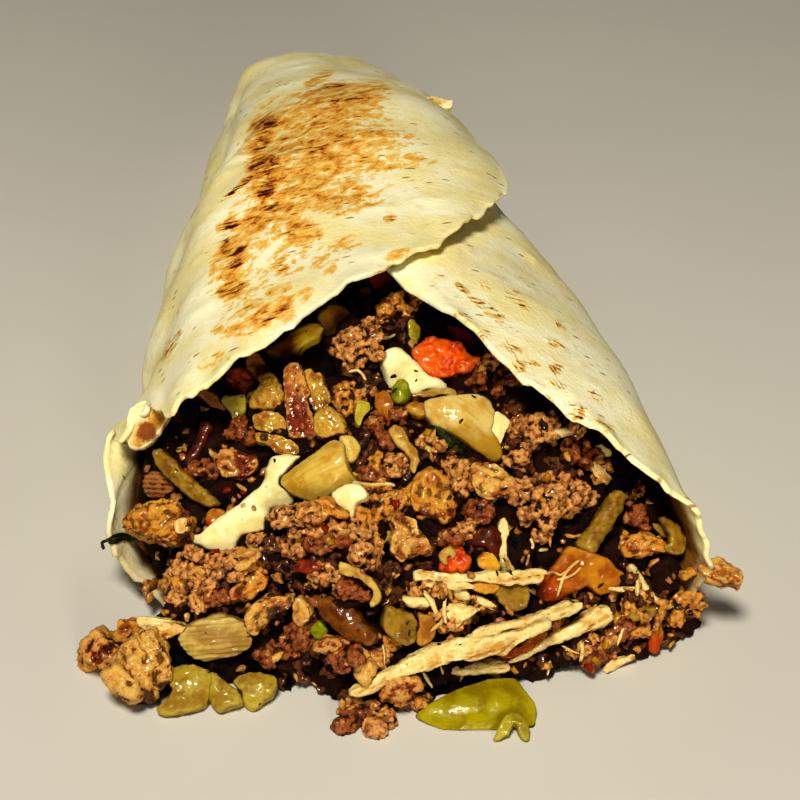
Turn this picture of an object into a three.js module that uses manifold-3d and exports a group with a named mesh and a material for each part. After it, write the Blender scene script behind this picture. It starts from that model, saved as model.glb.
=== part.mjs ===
// A burrito: a flour tortilla rolled round a filling of ground beef, chicken, onion and peppers.
// The roll lies on its flat underside along Y. The closed, tucked end is at +Y. The mouth is at -Y,
// where the filling slopes down and spills over the lower edge of the tortilla. Millimetres, +Z up.
import * as THREE from 'three';
import { mergeVertices } from 'three/addons/utils/BufferGeometryUtils.js';
import Module from 'manifold-3d';

const wasm = await Module();
wasm.setup();

// ---------- driving dimensions ----------
const BREAD = 2.4;            // thickness of the tortilla
const GAP = 0.35;             // clearance kept between pieces that touch
const FAR_END = 100;          // where the roll is tucked shut
const SINK = 0.2;             // share of the roll's height that is pressed flat on the table
const LAP_LIFT = BREAD + 0.5; // how far the upper lap stands out where it covers the lower one
const SHEET_TURNS = 46;       // facets round the sheet
const SHEET_ROWS = 13;        // facets along the sheet
const CORE_SIDES = 26;        // facets round the filling
const CORE_ROWS = 8;          // facets along the filling
const CORE_INSET = 0.45;      // how far the filling stays inside the tortilla, beside the clearance

// Half the roll's width and its full height, each as [y, size].
const halfWidth = smoothCurve([
  [-112, 56], [-88, 53], [-62, 49.5], [-22, 42], [18, 34.5],
  [48, 29.5], [76, 23.5], [90, 20], [100, 17.5],
]);
const fullHeight = smoothCurve([
  [-112, 43], [-88, 45], [-48, 46], [-8, 45], [30, 41],
  [60, 34], [80, 27], [92, 22.5], [100, 18.5],
]);

// The mouth's edge as [turn, y]. Turn 0 is the middle of the underside, +0.5 the right side,
// -0.5 the left side and +-1 the top, so the sheet goes round a little more than once.
const MOUTH = [
  [-1.31, 22], [-1.27, 4], [-1.235, -5], [-1.17, -15], [-1.02, -36], [-0.9, -50],
  [-0.79, -61.5], [-0.735, -64], [-0.68, -57], [-0.61, -56.5], [-0.56, -55.5], [-0.46, -65],
  [-0.33, -73], [-0.1, -83], [0.15, -88], [0.45, -89], [0.63, -87], [0.77, -76.5],
  [0.87, -62], [0.94, -47], [1.0, -31], [1.2, 4],
];
const mouthEdge = smoothCurve(MOUTH);
const FIRST_TURN = MOUTH[0][0];
const LAST_TURN = MOUTH[MOUTH.length - 1][0];

// The front of the spilled heap as [x, y], and its slope as [distance behind the front, height].
const spillFront = smoothCurve([
  [-58, -84], [-50, -91], [-42, -93], [-29, -92], [-22, -91], [-14, -96], [-8, -103],
  [0, -100], [10, -99], [20, -98], [27, -95], [40, -94], [48, -91], [55, -84], [60, -76],
]);
const heapSlope = smoothCurve([
  [0, 0], [4, 7.5], [15, 19], [28, 26.5], [42, 31.5], [57, 34.5], [77, 38], [102, 43], [200, 43],
]);
// Where the part of the heap outside the roll ends, as [x, y].
const spillBack = smoothCurve([
  [-62, -89], [-50, -89], [-42, -87], [-35, -74], [-28, -60], [40, -60], [46, -82], [52, -87], [62, -90],
]);

// ---------- helpers ----------
/** A smooth curve through [at, value] knots that doesn't overshoot between them. */
function smoothCurve(knots) {
  const last = knots.length - 1;
  const rise = knots.slice(1).map((k, i) => (k[1] - knots[i][1]) / (k[0] - knots[i][0]));
  const slope = knots.map((_, i) => {
    if (i === 0 || i === last) return rise[Math.min(i, last - 1)];
    const [before, after] = [rise[i - 1], rise[i]];
    return before * after <= 0 ? 0 : (2 * before * after) / (before + after);
  });
  return (at) => {
    const t = THREE.MathUtils.clamp(at, knots[0][0], knots[last][0]);
    let i = 0;
    while (i < last - 1 && t > knots[i + 1][0]) i += 1;
    const span = knots[i + 1][0] - knots[i][0];
    const u = (t - knots[i][0]) / span;
    return (1 + 2 * u) * (1 - u) ** 2 * knots[i][1] + u * (1 - u) ** 2 * span * slope[i]
      + u * u * (3 - 2 * u) * knots[i + 1][1] + u * u * (u - 1) * span * slope[i + 1];
  };
}

/** A smooth step from 0 to 1. */
function ease(t) {
  return THREE.MathUtils.smoothstep(t, 0, 1);
}

/** A bell of height 1 and the given half-width. */
function bell(distance, width) {
  return Math.exp(-((distance / width) ** 2));
}

/** Seeded random numbers between 0 and 1. */
function dice(seed) {
  let state = seed * 7919 + 17;
  return () => {
    state = (state * 1664525 + 1013904223) % 4294967296;
    return state / 4294967296;
  };
}

/** A closed geometry with shared corners whose every corner is moved by a function. */
function reshape(geometry, move) {
  const bare = geometry.clone();
  bare.deleteAttribute('normal');
  bare.deleteAttribute('uv');
  const merged = mergeVertices(bare, 1e-4);
  const corners = merged.getAttribute('position');
  const corner = new THREE.Vector3();
  for (let i = 0; i < corners.count; i += 1) {
    corner.fromBufferAttribute(corners, i);
    const moved = move(corner, i);
    corners.setXYZ(i, moved.x, moved.y, moved.z);
  }
  return merged;
}

/** A solid for cutting and joining. */
function solidOf(geometry) {
  return new wasm.Manifold(new wasm.Mesh({
    numProp: 3,
    vertProperties: new Float32Array(geometry.getAttribute('position').array),
    triVerts: new Uint32Array(geometry.index.array),
  }));
}

/** The largest connected piece of a solid. */
function mainPiece(solid) {
  const pieces = solid.decompose();
  pieces.sort((one, other) => other.volume() - one.volume());
  return pieces[0];
}

/** The geometry of a solid. */
function geometryOf(solid) {
  const mesh = solid.getMesh();
  const geometry = new THREE.BufferGeometry();
  geometry.setAttribute('position', new THREE.BufferAttribute(new Float32Array(mesh.vertProperties), 3));
  geometry.setIndex(new THREE.BufferAttribute(new Uint32Array(mesh.triVerts), 1));
  return geometry;
}

/** A plain food surface. */
function finish(colour, roughness) {
  return new THREE.MeshStandardMaterial({ color: colour, roughness, metalness: 0 });
}

// ---------- tortilla ----------
/** How far the sheet stands out from the plain roll: the upper lap, its raised edge and the lip. */
function standOut(turn, y) {
  const fromEdge = y - mouthEdge(turn);
  const lap = LAP_LIFT * ease((-turn - 0.66) / 0.12);
  const raised = 1.8 * ease((-turn - 0.98) / 0.25) * bell(fromEdge, 22);
  const lip = 2.0 * bell(turn + 0.47, 0.12) * bell(fromEdge, 14);
  return lap + raised + lip;
}

/** Slow waves and the crease of the tucked end, in millimetres outwards. */
function waves(turn, y) {
  const angle = Math.PI * turn;
  const slow = 0.8 * Math.sin(2 * angle + y / 14) + 0.6 * Math.sin(3 * angle - y / 19 + 1.2);
  const fine = 0.5 * Math.sin(5 * angle + y / 31 + 0.5);
  return (slow + fine) * ease((FAR_END + 4 - y) / 25);
}

/** A point of the rolled sheet, at a depth below its outer face. */
function onSheet(turn, y, depth, out) {
  const angle = Math.PI * turn;
  const width = halfWidth(y);
  const height = fullHeight(y);
  const radius = height * (1 + SINK) / 2;
  const x = (width + out - depth) * Math.sin(angle);
  const z = radius - SINK * height - (radius + out - depth) * Math.cos(angle);
  return new THREE.Vector3(x, y, Math.max(z, depth));
}

/** The rolled sheet as one bent slab, with clearance all round if asked. */
function rolledSheet(clearance) {
  const slab = new THREE.BoxGeometry(1, 1, 1, SHEET_TURNS, SHEET_ROWS, 1);
  const margin = clearance / 110;
  return reshape(slab, (corner) => {
    const along = Math.pow(corner.y + 0.5, 1.25);
    const turn = THREE.MathUtils.lerp(LAST_TURN + margin, FIRST_TURN - margin, corner.x + 0.5);
    const start = mouthEdge(turn) - clearance;
    const y = THREE.MathUtils.lerp(start, FAR_END, along);
    const depth = (0.5 - corner.z) * (BREAD + 2 * clearance) - clearance;
    return onSheet(turn, y, depth, standOut(turn, y) + waves(turn, y));
  });
}

/** A closed round block whose sections follow the roll, at a depth and pushed out by a function. */
function rollBlock(startAt, toY, depth, sides, rows, push, shrink) {
  const drum = new THREE.CylinderGeometry(1, 1, 1, sides, rows);
  return reshape(drum, (corner) => {
    const along = corner.y + 0.5;
    const turn = Math.atan2(corner.x, -corner.z) / Math.PI;
    const y = THREE.MathUtils.lerp(startAt(turn), toY, along);
    const skin = onSheet(turn, y, depth, push(turn, y));
    const middle = new THREE.Vector3(0, y, Math.max(fullHeight(y) / 2, depth + 0.5));
    return middle.lerp(skin, Math.hypot(corner.x, corner.z) * shrink(along));
  });
}

/** How far the layers stand out all round at the tucked end. */
function tuckPush(turn, y) {
  const over = turn > 0 ? ease((turn - 0.58) / 0.1) : ease((-turn - 0.66) / 0.12);
  return LAP_LIFT * over + waves(turn, y) - 0.6;
}

/** The tucked end, a fold of sheet that closes the roll. */
function tuckedEnd() {
  return rollBlock(() => FAR_END - 5, FAR_END + 5, 0, CORE_SIDES, 7, tuckPush,
    (along) => Math.sqrt(1 - 0.96 * Math.max(0, (along - 0.5) / 0.5) ** 2));
}

/** The whole tortilla as a solid. */
function tortillaSolid(clearance) {
  return solidOf(rolledSheet(clearance)).add(solidOf(tuckedEnd()));
}

// ---------- heap ----------
/** The height of the bare heap at a place. */
function heapHeight(x, y) {
  const behind = Math.max(y - spillFront(x), 0);
  const shoulder = 1 - 0.28 * Math.min(Math.abs(x) / 52, 1.2) ** 2.5;
  const hollow = 6 * ease((-x - 34) / 12) * ease((y + 80) / 14);
  return heapSlope(behind) * shoulder - hollow;
}

/** Where the filling that lies inside the roll starts: at the mouth's edge on the lower left. */
function fillingStart(turn) {
  return THREE.MathUtils.lerp(-104, mouthEdge(turn), bell(turn + 0.4, 0.24));
}

/** The heap's upward normal at a place. */
function heapNormal(x, y) {
  const step = 2;
  const slopeX = (heapHeight(x + step, y) - heapHeight(x - step, y)) / (2 * step);
  const slopeY = (heapHeight(x, y + step) - heapHeight(x, y - step)) / (2 * step);
  return new THREE.Vector3(-slopeX, -slopeY, 1).normalize();
}

/** A block over the whole floor of the burrito, as high as the heap. */
function moundBlock() {
  const block = new THREE.BoxGeometry(1, 1, 1, 15, 13, 1);
  return reshape(block, (corner) => {
    const x = corner.x * 116;
    const along = Math.pow(corner.y + 0.5, 1.8);
    const y = THREE.MathUtils.lerp(spillFront(x), FAR_END - 9, along);
    const bumps = 0.9 * Math.sin(x / 2.9 + 1.3 * Math.sin(y / 6)) * Math.sin(y / 3.3 + 0.7);
    const top = Math.max(heapHeight(x, y) + bumps, 0) + 0.8;
    return new THREE.Vector3(x, y, corner.z < 0 ? 0 : top);
  });
}

/** The space in front of the roll, where the heap may spread past it. */
function spillBlock() {
  const block = new THREE.BoxGeometry(1, 1, 1, 14, 1, 1);
  return reshape(block, (corner) => {
    const x = corner.x * 124;
    return new THREE.Vector3(x, corner.y < 0 ? -130 : spillBack(x), corner.z < 0 ? -1 : 60);
  });
}

/** The ground under the burrito, which nothing reaches below. */
function groundBlock() {
  return reshape(new THREE.BoxGeometry(400, 400, 60), (corner) => corner.setZ(corner.z - 30));
}

/** The matrix that lays a piece on the heap, turned in the slope's plane and leaned. */
function layOnHeap(x, y, lift, turn, lean) {
  const flat = new THREE.Quaternion().setFromUnitVectors(new THREE.Vector3(0, 0, 1), heapNormal(x, y));
  const [tip, roll] = lean.map(THREE.MathUtils.degToRad);
  const spin = new THREE.Quaternion().setFromEuler(
    new THREE.Euler(tip, roll, THREE.MathUtils.degToRad(turn), 'ZYX'));
  const place = new THREE.Vector3(x, y, heapHeight(x, y) + lift);
  return new THREE.Matrix4().compose(place, flat.multiply(spin), new THREE.Vector3(1, 1, 1));
}

// ---------- shapes of the pieces, all about their own middle ----------
/** A rough lump of cooked meat. */
function lump([length, width, height], seed, grow, detail = 0) {
  const roll = dice(seed);
  return reshape(new THREE.IcosahedronGeometry(1, detail), (corner) => {
    const rough = 0.84 + 0.3 * roll();
    return new THREE.Vector3(
      corner.x * (rough * length / 2 + grow),
      corner.y * (rough * width / 2 + grow),
      corner.z * (rough * height / 2 + grow));
  });
}

/** A diced piece with six soft faces. */
function dicedPiece([length, width, height], seed, grow) {
  const roll = dice(seed);
  return reshape(new THREE.BoxGeometry(2, 2, 2, 2, 2, 2), (corner) => {
    const soft = corner.clone().multiplyScalar(THREE.MathUtils.lerp(1, 1 / corner.length(), 0.42));
    const rough = 0.92 + 0.22 * roll();
    return new THREE.Vector3(
      soft.x * (rough * length / 2 + grow),
      soft.y * (rough * width / 2 + grow),
      soft.z * (rough * height / 2 + grow));
  });
}

/** A curved slice, such as one layer of an onion or a wall of a pepper. */
function slice([length, width, thick], seed, grow, arch = 1.5) {
  const roll = dice(seed);
  return reshape(new THREE.BoxGeometry(2, 2, 2, 4, 2, 1), (corner) => {
    const rough = 0.93 + 0.14 * roll();
    const narrow = 1 - 0.28 * Math.abs(corner.x) ** 3;
    const x = corner.x * (rough * length / 2 + grow);
    const y = corner.y * (rough * narrow * width / 2 + grow);
    const droop = arch * (0.7 * (2 * x / length) ** 2 + (2 * y / width) ** 2);
    return new THREE.Vector3(x, y, corner.z * (thick / 2 + grow) - droop);
  });
}

/** A long thin strip that waves along its length. */
function strip([length, width, thick], seed, grow, wave = 0.8) {
  const roll = dice(seed);
  const phase = roll() * 6;
  return reshape(new THREE.BoxGeometry(2, 2, 2, 7, 1, 1), (corner) => {
    const along = corner.x * length / 2;
    const rough = 0.85 + 0.3 * roll();
    const taper = 1 - 0.35 * Math.abs(corner.x) ** 3;
    return new THREE.Vector3(
      corner.x * (length / 2 + grow),
      corner.y * (rough * taper * width / 2 + grow) + 0.6 * wave * Math.sin(along / 4.5 + phase + 2),
      corner.z * (thick / 2 + grow) + wave * Math.sin(along / 3.5 + phase));
  });
}

/** A thread of peel bent into part of a circle. */
function curl([radius, sweep, thick], seed, grow) {
  const route = new THREE.ArcCurve(0, 0, radius, 0, THREE.MathUtils.degToRad(sweep), false);
  const places = route.getPoints(8).map((p, i) => new THREE.Vector3(p.x, p.y, 0.25 * i));
  const outline = new THREE.Shape();
  outline.absarc(0, 0, thick / 2 + grow, 0, 2 * Math.PI, false);
  const tube = new THREE.ExtrudeGeometry(outline, {
    steps: 9, curveSegments: 3, bevelEnabled: false, extrudePath: new THREE.CatmullRomCurve3(places),
  });
  return reshape(tube, (corner) => corner);
}

/** A ring cut from a green onion. */
function ring([across, hole, thick], seed, grow) {
  const inner = hole / 2 - grow;
  const outer = across / 2 + grow;
  const half = thick / 2 + grow;
  const outline = [[inner, -half], [outer, -half], [outer, half], [inner, half], [inner, -half]];
  const lathe = new THREE.LatheGeometry(outline.map(([r, h]) => new THREE.Vector2(r, h)), 8);
  lathe.rotateX(Math.PI / 2);
  return reshape(lathe, (corner) => corner);
}

// ---------- the pieces that lie on the heap ----------
const COLOURS = {
  onion: 0xd9cf96, greenOnion: 0x7f9a3a, pepper: 0x9fa83a, chicken: 0xa8713c, strip: 0xd8b97a,
  sauce: 0xe9e6cc, tomato: 0xb8391d, amber: 0xc07a2c, yellow: 0xd9b62c, celery: 0xc9be86,
};

/** Pieces in the order in which they take their room: each has [x, y, height above the heap]. */
function pieceList() {
  const list = [];
  const add = (kind, colour, shape, [x, y, lift], size, turn = 0, lean = [0, 0], extra = undefined) => {
    const number = list.filter((one) => one.kind === kind).length + 1;
    const seed = list.length + 3;
    list.push({ name: `${kind}_${number}`, kind, colour, shape, x, y, lift, size, turn, lean, extra, seed });
  };

  // Long strips laid over the front of the spill.
  add('strip', 'strip', strip, [12, -89.5, 4.0], [24, 3.6, 1.6], -3, [0, 0], 0.5);
  add('strip', 'strip', strip, [5, -98, 4.5], [38, 6.0, 2.4], 20, [0, 6], 0.6);
  add('strip', 'strip', strip, [21, -94.5, 6.0], [20, 4.4, 1.8], 21, [0, 0], 0.5);
  add('strip', 'strip', strip, [28, -92, 3.8], [18, 4.4, 2.0], 30, [0, 0], 0.5);
  add('strip', 'strip', strip, [9, -99, 1.2], [15, 4.0, 1.8], 8, [0, 0], 0.5);

  // Peppers along the front edge and in the mouth.
  add('pepper', 'pepper', slice, [12, -103, 2.6], [19, 10, 3.0], 18, [0, 0], 1.6);
  add('pepper', 'pepper', slice, [17, -106, 2.4], [8, 5, 2.2], 24, [10, 0], 1.0);
  add('pepper', 'pepper', slice, [-39, -94, 3.8], [11, 8.5, 2.8], 70, [0, 0], 1.2);
  add('pepper', 'pepper', slice, [-31, -95, 3.0], [8, 7, 2.6], 15, [0, 0], 1.0);
  add('pepper', 'pepper', slice, [-24, -95, 2.8], [8.5, 6.8, 2.4], -20, [0, 0], 1.0);
  add('pepper', 'amber', slice, [31, -86, 3.4], [18, 11, 2.6], -8, [8, 0], 1.4);
  add('pepper', 'pepper', slice, [-27, -54, 1.5], [6.4, 4.6, 2.0], 60, [0, 0], 0.6);
  add('pepper', 'yellow', dicedPiece, [14, -86, 2.0], [4.6, 3.6, 3.4], 10);

  // Tomato.
  add('tomato', 'tomato', dicedPiece, [12, -46, 1.8], [12, 9.5, 6], -18, [0, 0]);
  add('tomato', 'tomato', dicedPiece, [9, -86.5, 1.8], [6.2, 5.2, 4.6], 5);
  add('tomato', 'tomato', dicedPiece, [-21, -43, 0.8], [6, 5, 4], 10);
  add('tomato', 'tomato', dicedPiece, [-1, -59, 1.6], [6.2, 3.6, 3.6], 72);

  // Onion, celery and threads of peel.
  add('onion', 'onion', slice, [-13, -70.5, 3.2], [14.5, 10, 3.4], 26, [0, 0], 1.6);
  add('onion', 'onion', slice, [12, -63, 2.6], [13, 7.5, 3.4], -9, [0, 0], 1.2);
  add('onion', 'onion', strip, [36, -77, 4.0], [15, 3.8, 3.2], 50, [0, 0], 0.5);
  add('onion', 'onion', slice, [-15, -42, 2.0], [11, 6.6, 3.2], 24, [0, 0], 1.2);
  add('onion', 'onion', slice, [-7, -39, 1.4], [7, 7, 3.0], 40, [0, 0], 1.0);
  add('onion', 'onion', strip, [-36, -66, 1.4], [15, 3.6, 2.6], -42, [0, 0], 0.5);
  add('onion', 'amber', slice, [-10, -95, 3.0], [13, 6.0, 2.8], -40, [0, 0], 1.4);
  add('onion', 'onion', dicedPiece, [-2, -95, 2.6], [6.6, 7, 5], 10);
  add('onion', 'amber', dicedPiece, [3.4, -95, 2.0], [3.8, 6.2, 4.4], 5);
  add('onion', 'onion', dicedPiece, [18, -90.5, 2.0], [6, 5, 4.2], 5);
  add('onion', 'onion', dicedPiece, [-4, -59, 2.4], [4, 6.4, 4], 15);
  add('celery', 'celery', slice, [-33, -90, 4.6], [13.5, 8.4, 3.2], 4, [0, 0], 2.2);
  add('curl', 'onion', curl, [2, -69, 2.4], [3.4, 200, 1.9], 60, [20, 0]);
  add('curl', 'onion', curl, [-7, -92, 3.4], [3.4, 190, 1.8], 110, [25, 0]);
  add('curl', 'onion', curl, [44, -80, 3.4], [3.6, 210, 1.9], -60, [30, 0]);
  add('scallion', 'greenOnion', ring, [3, -58, 3.4], [5.0, 2.2, 3.0], 10, [20, 10]);
  add('scallion', 'greenOnion', ring, [-15, -91, 3.0], [4.4, 2.0, 3.0], 30, [50, 0]);

  // White sauce.
  add('sauce', 'sauce', dicedPiece, [6, -51, 1.6], [12.6, 7.6, 3.6], -28);
  add('sauce', 'sauce', dicedPiece, [19, -65, 1.4], [8.6, 3.4, 3.2], 80);
  add('sauce', 'sauce', slice, [-27, -72, 2.4], [24, 8.0, 3.0], 36, [0, 0], 1.2);
  add('sauce', 'sauce', dicedPiece, [-9, -78, 2.0], [7, 5.4, 3.0], 20);

  // Chicken.
  add('chicken', 'chicken', lump, [-42, -73, 4.6], [13.5, 7.6, 7], -5, [0, 0], 1);
  add('chicken', 'chicken', lump, [-46, -92, 4.4], [10.5, 14, 9], 10, [0, 0], 1);
  add('chicken', 'chicken', lump, [-53, -89, 2.6], [6.4, 7, 6.4], 0);
  add('chicken', 'chicken', lump, [-41, -88.5, 3.0], [9.5, 4.4, 4], 12);
  add('chicken', 'chicken', lump, [-21, -49, 1.8], [10.6, 7.4, 6], 58, [0, 0], 1);
  add('chicken', 'chicken', lump, [-27, -47, 1.2], [6, 5.8, 5], 0);
  add('chicken', 'chicken', dicedPiece, [-15, -55, 2.4], [13.5, 5.6, 5.4], 84);
  add('chicken', 'chicken', lump, [-11, -53, 1.8], [7.2, 4.6, 4.6], 100);
  add('chicken', 'chicken', lump, [-10, -63, 2.0], [6.2, 5.6, 5], 30);
  add('chicken', 'chicken', lump, [-21, -57, 1.6], [6.4, 4.4, 4.2], 0);
  add('chicken', 'chicken', lump, [-20, -62, 1.8], [8.6, 4, 3.6], -8);
  add('chicken', 'chicken', lump, [-28, -64, 1.6], [8.8, 5.8, 5], 0);
  add('chicken', 'chicken', dicedPiece, [17, -74, 2.4], [8.6, 8, 6.4], 10);
  add('chicken', 'chicken', lump, [6, -76, 2.6], [8.4, 9.2, 7], 30, [0, 0], 1);
  add('chicken', 'chicken', dicedPiece, [1, -83, 2.6], [8.2, 7.2, 6], 78);
  add('chicken', 'chicken', dicedPiece, [-26, -84, 2.6], [7.4, 6, 5], 35);
  add('chicken', 'chicken', lump, [55.4, -89, 14], [9, 4.4, 4], -15);
  return list;
}

/** The geometry of a piece about its own middle, grown by a clearance. */
function pieceGeometry(piece, grow) {
  return piece.shape(piece.size, piece.seed, grow, piece.extra);
}

// ---------- ground beef, fused to the core ----------
// Where clumps of crumbled beef show, as [x, y, length, width].
const CLUMPS = [
  [-3, -46, 9, 9], [26, -62, 13, 9], [35, -67, 8, 10], [26, -76, 15, 12], [-14, -80, 20, 11],
  [-33, -81, 19, 9], [-20, -88, 11, 9], [45, -79, 11, 6], [38, -86, 16, 7], [48, -82, 9, 7],
  [30, -91, 8, 6], [42, -91, 12, 6], [-8, -100, 10, 9], [-14, -94, 8, 8], [12, -33, 9, 8], [8, -91, 13, 6],
];

/** One solid of rough crumbs scattered over each clump's footprint. */
function beefSolid() {
  const roll = dice(41);
  const crumbs = CLUMPS.flatMap(([x, y, length, width]) => {
    const count = Math.round(length * width / 54);
    return Array.from({ length: count }, () => {
      const [dx, dy] = [(roll() - 0.5) * length, (roll() - 0.5) * width];
      const size = [0, 1, 2].map(() => 5.6 + 3.2 * roll());
      const crumb = lump(size, Math.floor(roll() * 900), 0);
      crumb.applyMatrix4(layOnHeap(x + dx, y + dy, 1.0 + 1.6 * roll(), roll() * 360, [0, 0]));
      return solidOf(crumb);
    });
  });
  return wasm.Manifold.union(crumbs);
}

// ---------- building ----------
const burrito = new THREE.Group();

/** Adds a solid to the burrito as a named mesh, kept in its own frame. */
function addMesh(name, solid, colour, roughness, place = new THREE.Matrix4()) {
  const geometry = geometryOf(mainPiece(solid)).applyMatrix4(place.clone().invert());
  const mesh = new THREE.Mesh(geometry, finish(colour, roughness));
  mesh.name = name;
  mesh.applyMatrix4(place);
  burrito.add(mesh);
}

let room = tortillaSolid(GAP).add(solidOf(groundBlock()));
for (const piece of pieceList()) {
  const place = layOnHeap(piece.x, piece.y, piece.lift, piece.turn, piece.lean);
  const solid = solidOf(pieceGeometry(piece, 0).applyMatrix4(place));
  const grown = solidOf(pieceGeometry(piece, GAP).applyMatrix4(place));
  addMesh(piece.name, solid.subtract(room), COLOURS[piece.colour], 0.5, place);
  room = room.add(grown);
}

const inside = rollBlock(fillingStart, FAR_END - 9, BREAD + GAP + CORE_INSET, CORE_SIDES, CORE_ROWS,
  waves, () => 1);
const mound = solidOf(moundBlock());
const core = mound.intersect(solidOf(inside)).add(mound.intersect(solidOf(spillBlock())));
addMesh('filling', core.add(beefSolid()).subtract(room), 0x7a4a2c, 0.6);
addMesh('tortilla', tortillaSolid(0), 0xe8dcb0, 0.75);

const bounds = new THREE.Box3().setFromObject(burrito, true);
const middle = bounds.getCenter(new THREE.Vector3());
burrito.position.set(-middle.x, -middle.y, -bounds.min.z);

export default burrito;
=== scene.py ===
"""A burrito for the shared part library: a rolled tortilla, its crumbled beef filling and the toppings.

Lengths in the classes are millimetres in the roll's own frame, in which the far end is at y = 100.
Finished meshes are in metres in the part's frame.
"""
from __future__ import annotations

import logging
import math
import sys
from contextlib import contextmanager
from dataclasses import dataclass, fields
from enum import Enum
from typing import Iterator, Sequence

import bpy
import numpy as np
from mathutils import Matrix, Vector
from mathutils.bvhtree import BVHTree


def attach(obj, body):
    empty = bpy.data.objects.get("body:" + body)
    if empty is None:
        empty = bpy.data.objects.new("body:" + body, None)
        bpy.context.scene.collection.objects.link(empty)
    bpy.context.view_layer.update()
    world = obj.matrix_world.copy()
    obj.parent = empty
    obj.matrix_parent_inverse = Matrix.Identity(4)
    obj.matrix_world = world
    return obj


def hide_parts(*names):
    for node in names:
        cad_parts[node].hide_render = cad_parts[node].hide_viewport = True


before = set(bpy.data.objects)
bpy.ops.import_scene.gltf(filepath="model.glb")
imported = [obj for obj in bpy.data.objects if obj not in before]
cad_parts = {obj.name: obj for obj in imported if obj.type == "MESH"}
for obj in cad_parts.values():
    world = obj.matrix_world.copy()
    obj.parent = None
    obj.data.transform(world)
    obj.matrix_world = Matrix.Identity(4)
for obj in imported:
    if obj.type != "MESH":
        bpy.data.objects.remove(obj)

log = logging.getLogger("burrito")

MM = 0.001
BODY = "root"
ROLL_SHIFT = np.array((-1.637, 2.323, 0.0))  # from the roll's own frame to the part's, in millimetres
PICTURE = 800.0  # the width and height of the picture, in points
SENSOR = 36.0  # the width of the camera's sensor, in millimetres
PLAIN_CREVICE = 0.4  # the crevice of pieces that are too small to have any

Array = np.ndarray
Dice = np.random.Generator
Piece = bpy.types.Object
Colour = tuple[float, float, float]
Shell = tuple[Array, Array]  # the vertices and the faces of a small mesh


# ---- small helpers
def ease(value: Array | float) -> Array:
    """Returns a smooth step from 0 to 1."""
    held = np.clip(value, 0.0, 1.0)
    return held * held * (3.0 - 2.0 * held)


def bell(distance: Array, width: float) -> Array:
    """Returns a bell of height 1 with the given half-width."""
    return np.exp(-((distance / width) ** 2))


class SmoothCurve:
    """A curve through knots that doesn't overshoot between them."""

    def __init__(self, *knots: float) -> None:
        """Works out the slope at each knot.

        Args:
            knots: Each knot's place and value, one after another, in rising order of place.
        """
        table = np.array(knots, dtype=float).reshape(-1, 2)
        self.at = table[:, 0]
        self.value = table[:, 1]
        rise = np.diff(self.value) / np.diff(self.at)
        before = rise[:-1]
        after = rise[1:]
        total = np.where(np.abs(before + after) < 1e-12, 1.0, before + after)
        middle = np.where(before * after <= 0.0, 0.0, 2.0 * before * after / total)
        self.slope = np.concatenate(([rise[0]], middle, [rise[-1]]))

    def __call__(self, at: Array | float) -> Array:
        """Returns the curve's value at each place."""
        place = np.clip(at, self.at[0], self.at[-1])
        index = np.clip(np.searchsorted(self.at, place, side="left") - 1, 0, len(self.at) - 2)
        span = self.at[index + 1] - self.at[index]
        part = (place - self.at[index]) / span
        rest = 1.0 - part
        return (
            (1.0 + 2.0 * part) * rest**2 * self.value[index]
            + part * rest**2 * span * self.slope[index]
            + part**2 * (3.0 - 2.0 * part) * self.value[index + 1]
            - part**2 * rest * span * self.slope[index + 1]
        )


def deselect_all() -> None:
    """Clears the selection, so that an operator acts on one piece only."""
    for piece in bpy.context.selected_objects:
        piece.select_set(False)


def select_only(piece: Piece) -> None:
    """Selects one piece and makes it the active one."""
    deselect_all()
    piece.select_set(True)
    bpy.context.view_layer.objects.active = piece


def rows_from(items: bpy.types.bpy_prop_collection, name: str, width: int, kind: type = float) -> Array:
    """Returns a property of all the items of a mesh, in rows of so many numbers."""
    flat = np.empty(len(items) * width, dtype=kind)
    items.foreach_get(name, flat)
    return flat.reshape(-1, width)


def points_of(piece: Piece) -> Array:
    """Returns the piece's vertices as an array of [x, y, z] in metres."""
    return rows_from(piece.data.vertices, "co", 3)


def normals_of(piece: Piece) -> Array:
    """Returns the piece's vertex normals."""
    return rows_from(piece.data.vertices, "normal", 3)


def move_points(piece: Piece, points: Array) -> None:
    """Moves the piece's vertices to the given places in metres."""
    piece.data.vertices.foreach_set("co", points.reshape(-1))
    piece.data.update()


def store(piece: Piece, name: str, values: Array) -> None:
    """Keeps a number or a vector for each vertex, for the materials to read.

    Args:
        piece: The piece that gets the attribute.
        name: The attribute's name.
        values: One number or one row of 3 numbers for each vertex.
    """
    is_vector = values.ndim == 2
    attribute = piece.data.attributes.new(name, "FLOAT_VECTOR" if is_vector else "FLOAT", "POINT")
    attribute.data.foreach_set("vector" if is_vector else "value", values.reshape(-1).astype(np.float32))


def finish_with(piece: Piece, kind: str, **settings: object) -> None:
    """Adds a modifier of the given kind, sets it and applies it."""
    select_only(piece)
    modifier = piece.modifiers.new(kind.title(), kind)
    for name, value in settings.items():
        setattr(modifier, name, value)
    bpy.ops.object.modifier_apply(modifier=modifier.name)


def remesh(piece: Piece, voxel: float, soften: int, factor: float = 0.5) -> None:
    """Gives a piece even faces of a size in millimetres and smooths it a number of times."""
    finish_with(piece, "REMESH", mode="VOXEL", voxel_size=voxel * MM)
    finish_with(piece, "SMOOTH", factor=factor, iterations=soften)


def keep_on_table(piece: Piece) -> None:
    """Lifts whatever relief has pushed below the table back onto it."""
    points = points_of(piece)
    points[:, 2] = np.maximum(points[:, 2], 0.0)
    move_points(piece, points)


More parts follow.
